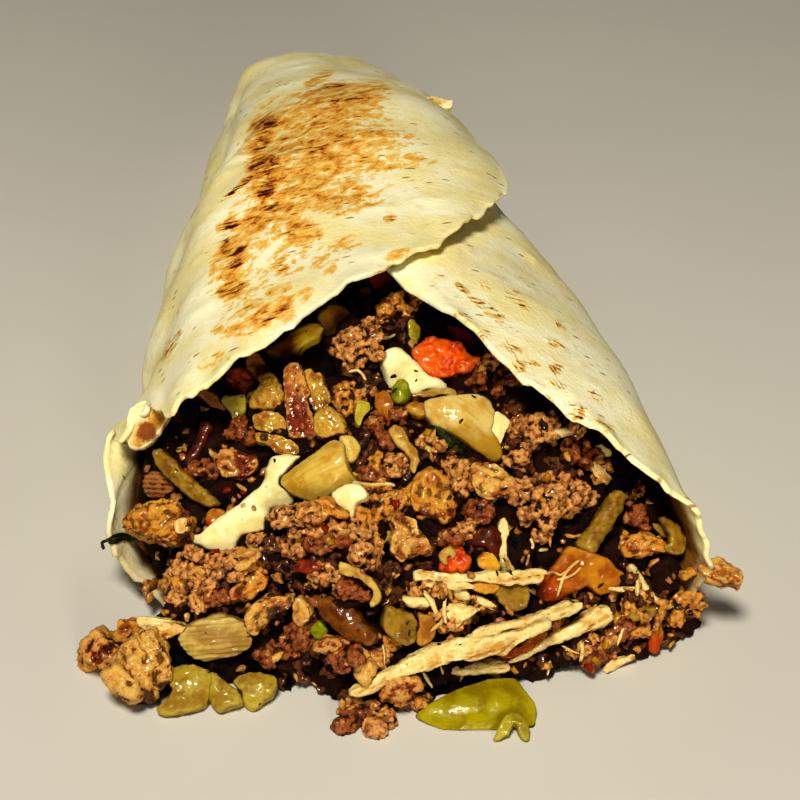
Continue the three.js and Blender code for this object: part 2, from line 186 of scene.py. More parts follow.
@contextmanager
def edit_mode(piece: Piece) -> Iterator[None]:
    """Opens one piece with all its faces selected, and closes it again."""
    select_only(piece)
    bpy.ops.object.mode_set(mode="EDIT")
    bpy.ops.mesh.select_all(action="SELECT")
    yield
    bpy.ops.object.mode_set(mode="OBJECT")


def clean_up(piece: Piece, distance: float = 0.01) -> None:
    """Merges doubles and turns the faces outwards.

    Args:
        piece: The piece to clean.
        distance: How close two vertices are to be merged, in millimetres.
    """
    with edit_mode(piece):
        bpy.ops.mesh.remove_doubles(threshold=distance * MM)
        bpy.ops.mesh.normals_make_consistent(inside=False)


def smooth_shading(piece: Piece) -> None:
    """Shades the piece smooth."""
    select_only(piece)
    bpy.ops.object.shade_smooth()


def new_object(name: str, data: bpy.types.ID | None) -> Piece:
    """Returns a new object of the scene with the given mesh, lamp or camera."""
    made = bpy.data.objects.new(name, data)
    bpy.context.collection.objects.link(made)
    return made


def copy_of_node(node: str, name: str) -> Piece:
    """Returns a merged copy of a CAD node as a new piece, at the node's place."""
    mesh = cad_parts[node].data.copy()
    mesh.materials.clear()
    piece = new_object(name, mesh)
    clean_up(piece)
    return piece


def join_meshes(name: str, points: list[Array], faces: list[Array]) -> Piece:
    """Joins copies of small meshes into one piece.

    Args:
        name: The new piece's name.
        points: Each copy's vertices in metres.
        faces: Each copy's faces, as rows of vertex numbers of one length.

    Returns:
        The new piece.
    """
    starts = np.cumsum([0] + [len(one) for one in points[:-1]])
    corners = np.concatenate([rows + start for rows, start in zip(faces, starts)])
    mesh = bpy.data.meshes.new(name)
    mesh.vertices.add(sum(len(one) for one in points))
    mesh.vertices.foreach_set("co", np.concatenate(points).reshape(-1))
    mesh.loops.add(corners.size)
    mesh.loops.foreach_set("vertex_index", corners.reshape(-1).astype(np.int32))
    mesh.polygons.add(len(corners))
    mesh.polygons.foreach_set("loop_start", np.arange(len(corners), dtype=np.int32) * corners.shape[1])
    mesh.update(calc_edges=True)
    return new_object(name, mesh)


def faces_of(piece: Piece) -> Array:
    """Returns the vertex numbers of the piece's faces, which all have one length."""
    corners = rows_from(piece.data.loops, "vertex_index", 1, np.int32)
    return corners.reshape(len(piece.data.polygons), -1)


def store_crevices(piece: Piece, reach: float, passes: int = 8) -> None:
    """Keeps how far each vertex lies below its surroundings, 0 on a ridge and 1 in a hollow.

    Args:
        piece: The piece that gets the attribute "crevice".
        reach: The depth in millimetres that counts as fully hollow.
        passes: How many times the surroundings are averaged.
    """
    points = points_of(piece)
    ends = rows_from(piece.data.edges, "vertices", 2, np.int32)
    both = np.concatenate((ends[:, 0], ends[:, 1]))
    other = np.concatenate((ends[:, 1], ends[:, 0]))
    count = np.maximum(np.bincount(both, minlength=len(points)), 1)
    average = points
    for _ in range(passes):
        columns = [np.bincount(both, weights=one, minlength=len(points)) for one in average[other].T]
        average = np.stack(columns, axis=1) / count[:, None]
    depth = np.einsum("ij,ij->i", average - points, normals_of(piece)) / MM
    store(piece, "crevice", np.clip(0.5 + 0.5 * depth / reach, 0.0, 1.0))


def long_axes(points: Array) -> Array:
    """Returns the longest, middle and shortest direction of a cloud of points, as columns."""
    centred = points - points.mean(axis=0)
    _, axes = np.linalg.eigh(centred.T @ centred)
    turned = axes[:, ::-1].copy()
    if np.linalg.det(turned) < 0.0:
        turned[:, 2] *= -1.0
    return turned


def along_axes(points: Array) -> Array:
    """Returns the points measured from their middle along their own axes, longest first."""
    return (points - points.mean(axis=0)) @ long_axes(points)


def store_grain(piece: Piece) -> None:
    """Keeps each vertex's place along the piece's own axes in metres."""
    store(piece, "grain", along_axes(points_of(piece)))


def tree_of(pieces: Sequence[Piece]) -> BVHTree:
    """Returns a tree of the pieces' faces for casting rays."""
    starts = np.cumsum([0] + [len(piece.data.vertices) for piece in pieces])
    points = np.concatenate([points_of(piece) for piece in pieces])
    faces: list[list[int]] = []
    for piece, start in zip(pieces, starts):
        faces.extend([[corner + int(start) for corner in side.vertices] for side in piece.data.polygons])
    return BVHTree.FromPolygons([Vector(point) for point in points], faces)


def heading(side: float, rise: float) -> Vector:
    """Returns the direction a turn to the right of the mouth's and a rise above the table, in degrees."""
    turn = math.radians(side)
    slope = math.radians(rise)
    return Vector((math.sin(turn) * math.cos(slope), -math.cos(turn) * math.cos(slope), math.sin(slope)))


class Relief(Enum):
    """Kinds of unevenness that a surface gets."""

    CLOUDS = ("CLOUDS", "SOFT_NOISE", 0.5)
    CREASES = ("CLOUDS", "HARD_NOISE", 0.32)
    CELLS = ("VORONOI", "", 0.4)


CLOUDS, CREASES, CELLS = Relief


@dataclass(frozen=True)
class Rough:
    """One layer of real relief.

    Attributes:
        kind: The kind of unevenness.
        size: The size of a bump in millimetres.
        depth: How far the surface moves in all, in millimetres.
        stretch: How many times longer than wide the bumps are, along the piece.
    """

    kind: Relief
    size: float
    depth: float
    stretch: float = 1.0

    def texture(self) -> bpy.types.Texture:
        """Returns the procedural texture that moves the surface."""
        family, noise_type, _ = self.kind.value
        texture = bpy.data.textures.new(f"relief_{self.kind.name.lower()}", family)
        texture.noise_scale = self.size * MM * 10.0
        if noise_type:
            texture.noise_type = noise_type
            texture.noise_depth = 3
        return texture

    def shape(self, piece: Piece) -> None:
        """Moves the piece's surface and applies the move.

        Args:
            piece: The piece to roughen. It has many small faces.
        """
        points = points_of(piece)
        guide = new_object("guide", None)
        axes = long_axes(points) if self.stretch != 1.0 else np.eye(3)
        place = np.eye(4)
        place[:3, :3] = axes * np.array((self.stretch, 1.0, 1.0)) * 0.1
        place[:3, 3] = points.mean(axis=0)
        guide.matrix_world = Matrix(place.tolist())
        bpy.context.view_layer.update()
        texture = self.texture()
        finish_with(
            piece,
            "DISPLACE",
            texture=texture,
            texture_coords="OBJECT",
            texture_coords_object=guide,
            strength=self.depth * MM,
            mid_level=self.kind.value[2],
        )
        bpy.data.textures.remove(texture)
        bpy.data.objects.remove(guide)


# ---- materials
class Value:
    """A shader socket that is used in Python expressions, each of which adds a Math node."""

    def __init__(self, bench: Bench, socket: bpy.types.NodeSocket) -> None:
        """Wraps a socket of a material that is being made."""
        self.bench = bench
        self.socket = socket

    def combine(self, operation: str, first: Value | float, second: Value | float) -> Value:
        """Returns the result of a Math node on two values."""
        return self.bench.node("ShaderNodeMath", {"operation": operation}, {0: first, 1: second})

    def __add__(self, other: Value | float) -> Value:
        """Returns the sum."""
        return self.combine("ADD", self, other)

    __radd__ = __add__

    def __sub__(self, other: Value | float) -> Value:
        """Returns the difference."""
        return self.combine("SUBTRACT", self, other)

    def __rsub__(self, other: Value | float) -> Value:
        """Returns the difference from a number."""
        return self.combine("SUBTRACT", other, self)

    def __mul__(self, other: Value | float) -> Value:
        """Returns the product."""
        return self.combine("MULTIPLY", self, other)

    __rmul__ = __mul__

    def __abs__(self) -> Value:
        """Returns the value without its sign."""
        return self.combine("ABSOLUTE", self, 0.0)


class Bench:
    """A material in the making, with one Principled surface."""

    def __init__(self, name: str) -> None:
        """Starts an empty material with its surface and output."""
        self.material = bpy.data.materials.new(name)
        self.material.use_nodes = True
        self.tree = self.material.node_tree
        self.tree.nodes.clear()
        self.surface = self.tree.nodes.new("ShaderNodeBsdfPrincipled")
        output = self.tree.nodes.new("ShaderNodeOutputMaterial")
        self.tree.links.new(self.surface.outputs[0], output.inputs[0])

    def node(
        self,
        kind: str,
        settings: dict[str, object] | None = None,
        inputs: dict[int | str, object] | None = None,
        output: int | str = 0,
    ) -> Value:
        """Adds any node.

        Args:
            kind: The node's type.
            settings: Its properties; "stops" holds a ramp's places and colours.
            inputs: A value or a link for each named or numbered socket.
            output: The output that is wanted.

        Returns:
            The wanted output.
        """
        node = self.tree.nodes.new(kind)
        for name, value in (settings or {}).items():
            if name == "stops":
                self.set_stops(node, value)
            else:
                setattr(node, name, value)
        for name, value in (inputs or {}).items():
            self.feed(node.inputs[name], value)
        return Value(self, node.outputs[output])

    def feed(self, socket: bpy.types.NodeSocket, value: object) -> None:
        """Links a value to a socket, or sets the socket's own number or colour."""
        if isinstance(value, Value):
            self.tree.links.new(value.socket, socket)
        elif isinstance(value, tuple) and socket.type == "RGBA":
            socket.default_value = (*value, 1.0)
        else:
            socket.default_value = value

    @staticmethod
    def set_stops(node: bpy.types.Node, stops: Sequence[tuple[float, Colour]]) -> None:
        """Sets the stops of a colour ramp."""
        ramp = node.color_ramp
        while len(ramp.elements) < len(stops):
            ramp.elements.new(1.0)
        for element, (place, colour) in zip(ramp.elements, stops):
            element.position = place
            element.color = (*colour, 1.0)

    def place(self) -> Value:
        """Returns the place in the part, in metres."""
        return self.node("ShaderNodeTexCoord", output="Object")

    def number(self, name: str) -> Value:
        """Returns a number that is kept for each vertex."""
        return self.node("ShaderNodeAttribute", {"attribute_name": name}, output="Fac")

    def vector(self, name: str) -> Value:
        """Returns a vector that is kept for each vertex."""
        return self.node("ShaderNodeAttribute", {"attribute_name": name}, output="Vector")

    def stretched(self, vector: Value, scale: tuple[float, float, float]) -> Value:
        """Returns the vector scaled along its axes."""
        return self.node("ShaderNodeMapping", {}, {"Vector": vector, "Scale": scale})

    def noise(
        self, vector: Value, size: float, detail: float = 3.0, rough: float = 0.55, warp: float = 0.0
    ) -> Value:
        """Returns soft noise from 0 to 1, with bumps of a size in millimetres."""
        inputs = {"Vector": vector, "Scale": 1000.0 / size, "Detail": detail}
        inputs |= {"Roughness": rough, "Distortion": warp}
        return self.node("ShaderNodeTexNoise", {}, inputs, "Fac")

    def cells(self, vector: Value, size: float) -> Value:
        """Returns the distance to the nearest of points that lie a size in millimetres apart."""
        return self.node("ShaderNodeTexVoronoi", {}, {"Vector": vector, "Scale": 1000.0 / size}, "Distance")

    def step(self, value: Value, low: float, high: float) -> Value:
        """Returns a smooth step from 0 at low to 1 at high."""
        settings = {"interpolation_type": "SMOOTHSTEP"}
        return self.node("ShaderNodeMapRange", settings, {0: value, 1: low, 2: high})

    def fade(self, value: Value, low: float, high: float) -> Value:
        """Returns a smooth step from 1 at low to 0 at high."""
        return 1.0 - self.step(value, low, high)

    def mix(self, factor: Value | float, first: object, second: object) -> Value:
        """Returns a blend of two colours."""
        return self.node("ShaderNodeMix", {"data_type": "RGBA"}, {0: factor, 6: first, 7: second}, 2)

    def ramp(self, value: Value, stops: Sequence[tuple[float, Colour]]) -> Value:
        """Returns the colour of a ramp at a value."""
        return self.node("ShaderNodeValToRGB", {"stops": stops}, {0: value}, "Color")

    def bump(self, height: Value, depth: float, below: Value | None = None) -> Value:
        """Returns a normal that is bumped by a height.

        Args:
            height: The height, from 0 to 1.
            depth: What a height of 1 stands for, in millimetres.
            below: The normal to start from.
        """
        inputs = {"Height": height, "Distance": depth * MM, "Strength": 1.0}
        if below is not None:
            inputs["Normal"] = below
        return self.node("ShaderNodeBump", {}, inputs, "Normal")

    def dress(self, **inputs: object) -> bpy.types.Material:
        """Feeds the surface and returns the material. Underscores in names stand for spaces."""
        for name, value in inputs.items():
            self.feed(self.surface.inputs[name.replace("_", " ").title().replace("Ior", "IOR")], value)
        return self.material


@dataclass(frozen=True)
class TortillaFinish:
    """Dry floury bread, toasted in a patch, with an inner face that is painted dark as shade, with grease
    marks.

    Attributes:
        cream, pale, beige: The bread's own colours.
        light_gold, golden, amber, brown, char: The toasted patch, from its border to its blisters.
        inner, oil_and_shade: The inner face and the darker patches on it; both colours are painted shade
            inside the roll, and the patches also stand for grease marks.
    """

    cream: Colour = (0.9, 0.82, 0.46)
    pale: Colour = (0.96, 0.93, 0.7)
    beige: Colour = (0.82, 0.65, 0.28)
    light_gold: Colour = (0.94, 0.7, 0.27)
    golden: Colour = (0.86, 0.5, 0.11)
    amber: Colour = (0.6, 0.25, 0.035)
    brown: Colour = (0.27, 0.07, 0.01)
    char: Colour = (0.05, 0.009, 0.002)
    # the two lining colours are painted shade: the inside of the roll is darkened where shade falls
    inner: Colour = (0.27, 0.14, 0.03)
    oil_and_shade: Colour = (0.06, 0.018, 0.004)

    def material(self) -> bpy.types.Material:
        """Returns the tortilla's material."""
        bench = Bench("tortilla")
        place = bench.place()
        toast = bench.number("toast")
        char = bench.number("char")
        inner = bench.number("inner")
        sheet = bench.vector("sheet")
        round_roll = bench.stretched(sheet, (1.0, 0.8, 1.0))
        mottle = bench.noise(place, 13.0, 3.0)
        flour = bench.noise(place, 2.6, 5.0, 0.62)
        grit = bench.noise(place, 0.7, 3.0)
        broad = bench.noise(round_roll, 2.3, 4.0, 0.6, 0.5)
        streak = bench.noise(bench.stretched(sheet, (0.9, 1.0, 1.0)), 1.0, 4.0, 0.68, 0.3)
        strokes = bench.noise(bench.stretched(sheet, (0.35, 1.0, 1.0)), 1.4, 4.0, 0.65, 0.3)
        strokes = bench.step(strokes, 0.47, 0.6)
        veins = bench.noise(bench.stretched(sheet, (0.5, 1.0, 1.0)), 3.6, 4.0, 0.62, 0.5)
        vein = bench.fade(abs(veins - 0.5), 0.006, 0.045)

        bread = bench.mix(bench.step(mottle, 0.38, 0.62), self.cream, self.pale)
        bread = bench.mix(bench.step(flour, 0.5, 0.75) * 0.5, bread, self.beige)
        flecks = bench.step(bench.noise(round_roll, 0.75, 3.0, 0.6, 0.4), 0.56, 0.64)
        heat = toast * 0.66 + (broad - 0.5) * 2.0 + (streak - 0.5) * 0.9 + flecks * toast * 0.16
        heat = heat * bench.step(toast + char, 0.04, 0.22) + char * (strokes * 0.55 + vein * 0.3 + 0.1)
        colours = (self.light_gold, self.golden, self.amber, self.brown, self.char)
        toasted = bench.ramp(heat * 0.8, tuple(zip((0.26, 0.5, 0.7, 0.84, 0.97), colours)))
        toasted_share = bench.step(heat, 0.28, 0.42)
        bread = bench.mix(toasted_share, bread, toasted)
        dots = bench.cells(bench.stretched(sheet, (0.35, 1.0, 1.0)), 1.7)
        dots_here = bench.step(bench.noise(place, 8.0, 2.0), 0.44, 0.56)
        bread = bench.mix(bench.fade(dots, 0.1, 0.19) * dots_here * 0.85, bread, self.brown)
        # near-black patches on the lining: painted shade, partly grease marks
        oil_and_shade_patches = bench.step(bench.noise(place, 9.0, 4.0, 0.6), 0.42, 0.66)
        lining = bench.mix(oil_and_shade_patches * 0.85, self.inner, self.oil_and_shade)
        burnt = bench.step(char, 0.2, 0.7)
        lining = bench.mix(burnt, lining, self.brown)
        colour = bench.mix(inner, bread, lining)

        dry = 0.66 - 0.15 * inner - 0.14 * toasted_share
        height = flour * 0.55 + grit * 0.3 - vein * char * 0.5 + streak * 0.3
        return bench.dress(
            base_color=colour,
            roughness=dry,
            normal=bench.bump(height, 0.4),
            specular_ior_level=0.3,
            subsurface_weight=0.1,
            subsurface_radius=(0.003, 0.0018, 0.0006),
            subsurface_scale=1.0,
        )


@dataclass(frozen=True)
class MeatFinish:
    """Cooked meat with a browned, wet surface, with painted highlights on its ridges and painted shade in its
    crevices and pits.

    Attributes:
        name: The material's name.
        pale, middle, crust, crevice_shade_and_char: Colours from the paler patches to the crevices; the pale
        one also paints highlights on ridges, and the last paints shade in crevices and pits and colours
        charred places.
        fibre, wet, pit_shade: How strongly its fibres and its wet coat show, and how dark its pits and
            crevices are painted as shade, from 0 to 1.
        far, far_from: A second colour and where along a slab it begins; 1 is the slab's end.
        shine: How strongly its bare surface reflects.
    """

    name: str
    pale: Colour
    middle: Colour
    crust: Colour
    crevice_shade_and_char: Colour
    fibre: float = 0.0
    wet: float = 0.5
    far: Colour = (0.3, 0.06, 0.006)
    far_from: float = 2.0
    shine: float = 0.3
    pit_shade: float = 0.45

    def material(self) -> bpy.types.Material:
        """Returns the meat's material."""
        bench = Bench(self.name)
        place = bench.place()
        crevice = bench.number("crevice")
        along = bench.stretched(bench.vector("grain"), (0.2, 1.0, 1.0))
        patches = bench.noise(place, 3.6, 3.0)
        grains = bench.noise(place, 0.9, 4.0, 0.65)
        threads = bench.noise(along, 0.55, 3.0, 0.6, 0.4)
        colour = bench.mix(bench.step(grains, 0.36, 0.64), self.middle, self.pale)
        colour = bench.mix(bench.step(threads, 0.48, 0.64) * self.fibre, colour, self.middle)
        far = bench.number("cast") + (patches - 0.5) * 0.7 + (threads - 0.5) * 0.4
        colour = bench.mix(bench.step(far, self.far_from - 0.14, self.far_from + 0.14), colour, self.far)
        colour = bench.mix(bench.step(patches, 0.48, 0.66) * 0.8, colour, self.crust)
        border = bench.step(bench.number("rim") + (patches - 0.5) * 1.2 + (grains - 0.5) * 0.5, 0.62, 1.0)
        colour = bench.mix(border * 0.75, colour, self.crust)
        # painted highlight: the ridges turn paler
        colour = bench.mix(bench.fade(crevice, 0.22, 0.46) * 0.7, colour, self.pale)
        # painted shade in the pits
        pits = bench.fade(grains, 0.36, 0.46) * bench.step(crevice, 0.35, 0.6)
        colour = bench.mix(pits * self.pit_shade, colour, self.crevice_shade_and_char)
        burnt = bench.step(bench.number("char") + (grains - 0.5) * 0.8, 0.3, 0.62)
        colour = bench.mix(burnt * 0.9, colour, self.crevice_shade_and_char)
        # painted shade in the crevices
        hollow = bench.step(crevice - (grains - 0.5) * 0.3, 0.54, 0.76)
        colour = bench.mix(hollow * (0.5 + self.pit_shade), colour, self.crevice_shade_and_char)
        grit = bench.noise(place, 0.36, 2.0)
        normal = bench.bump(grains + threads * (0.4 * self.fibre) + grit * 0.35, 0.45)
        return bench.dress(
            base_color=colour,
            roughness=0.42 + 0.3 * grains,
            normal=normal,
            specular_ior_level=self.shine,
            coat_weight=bench.step(grains, 0.46, 0.6) * (1.9 * self.wet),
            coat_roughness=0.08,
            subsurface_weight=0.05,
            subsurface_radius=(0.0016, 0.0006, 0.0003),
            subsurface_scale=1.0,
        )


SCORCHED: Colour = (0.05, 0.015, 0.004)
GROUND_PEPPER: Colour = (0.03, 0.015, 0.006)


@dataclass(frozen=True)
class WetFinish:
    """Soft-cooked vegetable or sauce: smooth, wet and a little see-through.

    Attributes:
        name: The material's name.
        body, shade, edge: Its main colour; its darker patches and veins, and the painted shade in its
            crevices; and the painted highlight on its ridges.
        veins, glow, specks: How strongly lines, light from within and ground pepper show, from 0 to 1.
        rough: Its roughness.
        far, far_from: A second colour and where along a slab it begins; 1 is the slab's end.
    """

    name: str
    body: Colour
    shade: Colour
    edge: Colour
    veins: float = 0.5
    glow: float = 0.25
    specks: float = 0.7
    rough: float = 0.3
    far: Colour = (0.12, 0.01, 0.002)
    far_from: float = 2.0

    def material(self) -> bpy.types.Material:
        """Returns the vegetable's material."""
        bench = Bench(self.name)
        place = bench.place()
        crevice = bench.number("crevice")
        along = bench.stretched(bench.vector("grain"), (0.1, 1.0, 1.0))
        patches = bench.noise(place, 3.6, 3.0)
        lines = bench.noise(along, 0.75, 2.0, 0.5, 0.2)
        skin = bench.noise(place, 0.8, 3.0)
        colour = bench.mix(bench.step(patches, 0.4, 0.62), self.body, self.shade)
        colour = bench.mix(bench.step(lines, 0.5, 0.64) * self.veins, colour, self.shade)
        # painted highlight: the ridges turn towards the edge colour
        colour = bench.mix(bench.fade(crevice, 0.12, 0.4) * 0.25, colour, self.edge)
        far = bench.number("cast") + (patches - 0.5) * 0.5 + (lines - 0.5) * 0.3
        far_share = bench.step(far, self.far_from - 0.16, self.far_from + 0.16) * 0.9
        colour = bench.mix(far_share, colour, self.far)
        # painted shade in the crevices
        colour = bench.mix(bench.step(crevice, 0.6, 0.9) * 0.6, colour, self.shade)
        scorched = bench.step(bench.number("char") + (skin - 0.5) * 0.8, 0.3, 0.62)
        colour = bench.mix(scorched * 0.85, colour, SCORCHED)
        pepper = bench.fade(bench.cells(place, 2.3), 0.07, 0.13)
        pepper = pepper * bench.step(bench.noise(place, 5.0, 1.0), 0.48, 0.56)
        colour = bench.mix(pepper * self.specks, colour, GROUND_PEPPER)
        normal = bench.bump(lines * (0.6 * self.veins) + skin * 0.3, 0.14)
        return bench.dress(
            base_color=colour,
            roughness=self.rough + 0.25 * skin,
            normal=normal,
            specular_ior_level=0.16,
            coat_weight=bench.step(skin, 0.48, 0.6) * 0.4,
            coat_roughness=0.06,
            subsurface_weight=self.glow,
            subsurface_radius=(0.003, 0.002, 0.0008),
            subsurface_scale=1.0,
        )


BEEF = MeatFinish(
    "beef", (0.7, 0.37, 0.13), (0.32, 0.12, 0.028), (0.17, 0.05, 0.01), (0.008, 0.003, 0.001), 0, 0.6,
)
# darker crumbs: painted shade in the shaded hollows between the toppings, and charred crumbs at the front
BEEF_DARK = MeatFinish(
    "beef_dark", (0.14, 0.048, 0.013), (0.045, 0.012, 0.003), (0.022, 0.006, 0.0015), (0.006, 0.002, 0.0008),
    0, 0.6,
)
BEEF_RED = MeatFinish(
    "beef_red", (0.36, 0.125, 0.035), (0.17, 0.042, 0.009), (0.09, 0.017, 0.003), (0.01, 0.002, 0.001), 0,
    0.5,
)
BEEF_GOLD = MeatFinish(
    "beef_gold", (0.66, 0.34, 0.07), (0.38, 0.14, 0.018), (0.22, 0.055, 0.007), (0.02, 0.005, 0.001), 0, 0.5,
)
# painted shade: the core is near-black so that the gaps between the toppings read as dark shade
CORE = MeatFinish(
    "core", (0.03, 0.009, 0.003), (0.009, 0.003, 0.0012), (0.006, 0.002, 0.001), (0.002, 0.001, 0.0005), 0, 0,
    shine=0.15,
)
CHICKEN = MeatFinish(
    "chicken", (0.64, 0.343, 0.0585), (0.468, 0.179, 0.0187), (0.25, 0.0507, 0.0039),
    (0.0312, 0.00624, 0.00156), 0.7, 0.4, far=(0.187, 0.0312, 0.00312), far_from=0.72, pit_shade=0.2,
)
CHICKEN_PALE = MeatFinish(
    "chicken_pale", (0.686, 0.452, 0.14), (0.546, 0.265, 0.0468), (0.343, 0.101, 0.0109),
    (0.039, 0.00936, 0.00234), 0.7, 0.4, far=(0.234, 0.0468, 0.00624), far_from=0.78, pit_shade=0.25,
)
FLAKE = MeatFinish(
    "flake", (0.6, 0.41, 0.08), (0.46, 0.24, 0.026), (0.28, 0.085, 0.006), (0.03, 0.008, 0.002), 0.6, 0.6,
    far=(0.26, 0.06, 0.004), far_from=0.72, pit_shade=0.2,
)
CHICKEN_RED = MeatFinish(
    "chicken_red", (0.5, 0.1, 0.01), (0.3, 0.035, 0.004), (0.15, 0.012, 0.002), (0.03, 0.004, 0.001), 0.6,
    0.5,
)
CHICKEN_TWO = MeatFinish(
    "chicken_two", (0.671, 0.39, 0.125), (0.53, 0.234, 0.039), (0.281, 0.0624, 0.00624),
    (0.0312, 0.00624, 0.00156), 0.5, 0.4, far=(0.172, 0.0172, 0.00156), far_from=0.38,
)
BROWN_SLICE = MeatFinish(
    "brown_slice", (0.46, 0.21, 0.07), (0.28, 0.1, 0.025), (0.16, 0.045, 0.01), (0.02, 0.005, 0.001), 0.4,
    0.4,
)
STRIP = MeatFinish(
    "strip", (0.8, 0.69, 0.36), (0.74, 0.55, 0.2), (0.6, 0.35, 0.075), (0.16, 0.048, 0.008), 0.3, 0.2,
    far=(0.45, 0.2, 0.028), far_from=0.66,
)
BREAD = MeatFinish(
    "bread", (0.96, 0.9, 0.62), (0.9, 0.8, 0.44), (0.86, 0.66, 0.28), (0.25, 0.06, 0.008), 0, 0.3,
    far=(0.56, 0.29, 0.04), far_from=0.42, shine=0.2, pit_shade=0,
)
ONION = WetFinish("onion", (0.608, 0.452, 0.109), (0.468, 0.281, 0.0312), (0.702, 0.624, 0.328), 0.55, 0.35)
ONION_BAND = WetFinish(
    "onion_band", (0.593, 0.468, 0.187), (0.515, 0.328, 0.0624), (0.702, 0.64, 0.374), 0.7, 0.3,
    far=(0.351, 0.211, 0.00936), far_from=0.48,
)
ONION_GREEN = WetFinish(
    "onion_green", (0.484, 0.429, 0.0624), (0.359, 0.281, 0.0195), (0.64, 0.593, 0.234), 0.5, 0.35,
)
ONION_OLIVE = WetFinish(
    "onion_olive", (0.312, 0.195, 0.0195), (0.187, 0.0936, 0.0078), (0.515, 0.374, 0.0936), 0.4, 0.3,
)
ONION_RED = WetFinish(
    "onion_red", (0.94, 0.7, 0.06), (0.86, 0.54, 0.03), (0.96, 0.84, 0.24), 0.6, 0.3, far_from=0.45,
)
ONION_DARK = WetFinish("onion_dark", (0.2, 0.07, 0.008), (0.11, 0.028, 0.004), (0.38, 0.22, 0.04), 0.5, 0.3)
AMBER = WetFinish(
    "amber_onion", (0.429, 0.226, 0.0234), (0.281, 0.109, 0.0078), (0.562, 0.374, 0.0936), 0.4, 0.35,
)
PEEL = WetFinish("peel", (0.546, 0.39, 0.0936), (0.351, 0.172, 0.0195), (0.663, 0.546, 0.234), 0.3, 0.3)
GREEN = WetFinish(
    "pepper_green", (0.35, 0.3, 0.004), (0.25, 0.19, 0.003), (0.5, 0.46, 0.03), 0.3, 0.2, 0.6, 0.12,
)
GREEN_PALE = WetFinish(
    "pepper_pale", (0.4, 0.352, 0.032), (0.272, 0.208, 0.012), (0.576, 0.528, 0.128), 0.4, 0.3, 0.4,
)
OLIVE = WetFinish("pepper_olive", (0.38, 0.29, 0.035), (0.28, 0.17, 0.016), (0.6, 0.52, 0.16), 0.5, 0.25, 0.9)
ORANGE = WetFinish(
    "pepper_amber", (0.468, 0.211, 0.00936), (0.312, 0.0936, 0.00312), (0.608, 0.374, 0.0624), 0.4, 0.25, 0.6,
    far=(0.39, 0.0546, 0.00312), far_from=0.6,
)
YELLOW = WetFinish(
    "pepper_yellow", (0.64, 0.359, 0.0234), (0.468, 0.203, 0.0078), (0.718, 0.546, 0.14), 0.2, 0.3, 0.3,
)
TOMATO = WetFinish(
    "tomato", (0.702, 0.135, 0.0072), (0.45, 0.036, 0.0027), (0.828, 0.378, 0.081), 0.3, 0.2, 0.4, 0.2,
)
# a darker tomato: on the slices beside the flap's edge it is painted shade
TOMATO_DARK = WetFinish(
    "tomato_dark", (0.24, 0.026, 0.004), (0.1, 0.01, 0.002), (0.4, 0.09, 0.02), 0.2, 0.15, 0.4,
)
SHADED_SLICE = WetFinish(
    "shaded_slice", (0.1, 0.016, 0.003), (0.05, 0.006, 0.002), (0.2, 0.05, 0.01), 0.2, 0.15, 0.4,
)
CELERY = WetFinish("celery", (0.5, 0.38, 0.12), (0.32, 0.2, 0.045), (0.78, 0.7, 0.38), 0.9, 0.25, 0.6)
SCALLION = WetFinish("scallion", (0.3, 0.32, 0.006), (0.14, 0.16, 0.004), (0.6, 0.58, 0.12), 0.6, 0.2, 0.2)
SAUCE = WetFinish("sauce", (0.84, 0.79, 0.47), (0.76, 0.65, 0.31), (0.88, 0.85, 0.6), 0, 0.35, 0.35, 0.34)
HERB = WetFinish("herb", (0.03, 0.035, 0.008), (0.01, 0.012, 0.003), (0.09, 0.1, 0.02), 0.5, 0.05, 0, 0.45)

Finish = TortillaFinish | MeatFinish | WetFinish


class Wardrobe:
    """Makes each finish's material once."""

    def __init__(self) -> None:
        """Starts with no materials."""
        self.made: dict[Finish, bpy.types.Material] = {}

    def dress(self, piece: Piece, finish: Finish) -> None:
        """Gives a piece its finish."""
        if finish not in self.made:
            self.made[finish] = finish.material()
        piece.data.materials.clear()
        piece.data.materials.append(self.made[finish])


WARDROBE = Wardrobe()


def finish_piece(piece: Piece, finish: Finish, hollow: float | None = None) -> None:
    """Shades a piece smooth, keeps what cooked food's materials read and gives it its finish.

    Args:
        piece: The finished shape.
        finish: Its finish.
        hollow: The depth in millimetres that counts as a full crevice, for a piece that has crevices.
    """
    smooth_shading(piece)
    if hollow is None:
        store(piece, "crevice", np.full(len(piece.data.vertices), PLAIN_CREVICE))
    else:
        store_crevices(piece, hollow)
    store_grain(piece)
    WARDROBE.dress(piece, finish)


# ---- tortilla
@dataclass(frozen=True)
class Swell:
    """A round rise or dent in the sheet: its turn, place along the roll, two half-widths and height."""

    turn: float
    y: float
    wide: float
    long: float
    height: float


@dataclass(frozen=True)
class Patch:
    """A toasted or burnt place on the sheet, as seen from before the mouth.

    Attributes:
        x, y: Its middle in the picture.
        long, wide: Its two half-widths in picture points.
        strength: How strongly it is toasted, from 0 to about 1.
        tilt: How its longer side rises to the right, in degrees.
    """

    x: float
    y: float
    long: float
    wide: float
    strength: float
    tilt: float

    def on(self, seen: Array) -> Array:
        """Returns how strongly the patch shows at places in the picture."""
        turn = math.radians(self.tilt)
        across = seen[:, 0] - self.x
        above = self.y - seen[:, 1]
        u = (across * math.cos(turn) + above * math.sin(turn)) / self.long
        v = (above * math.cos(turn) - across * math.sin(turn)) / self.wide
        return self.strength * ease(1.5 - np.hypot(u, v))


def rows_of(kind: type, *numbers: float) -> tuple:
    """Returns swells or patches from the numbers of their fields, one after another."""
    width = len(fields(kind))
    return tuple(kind(*numbers[at : at + width]) for at in range(0, len(numbers), width))


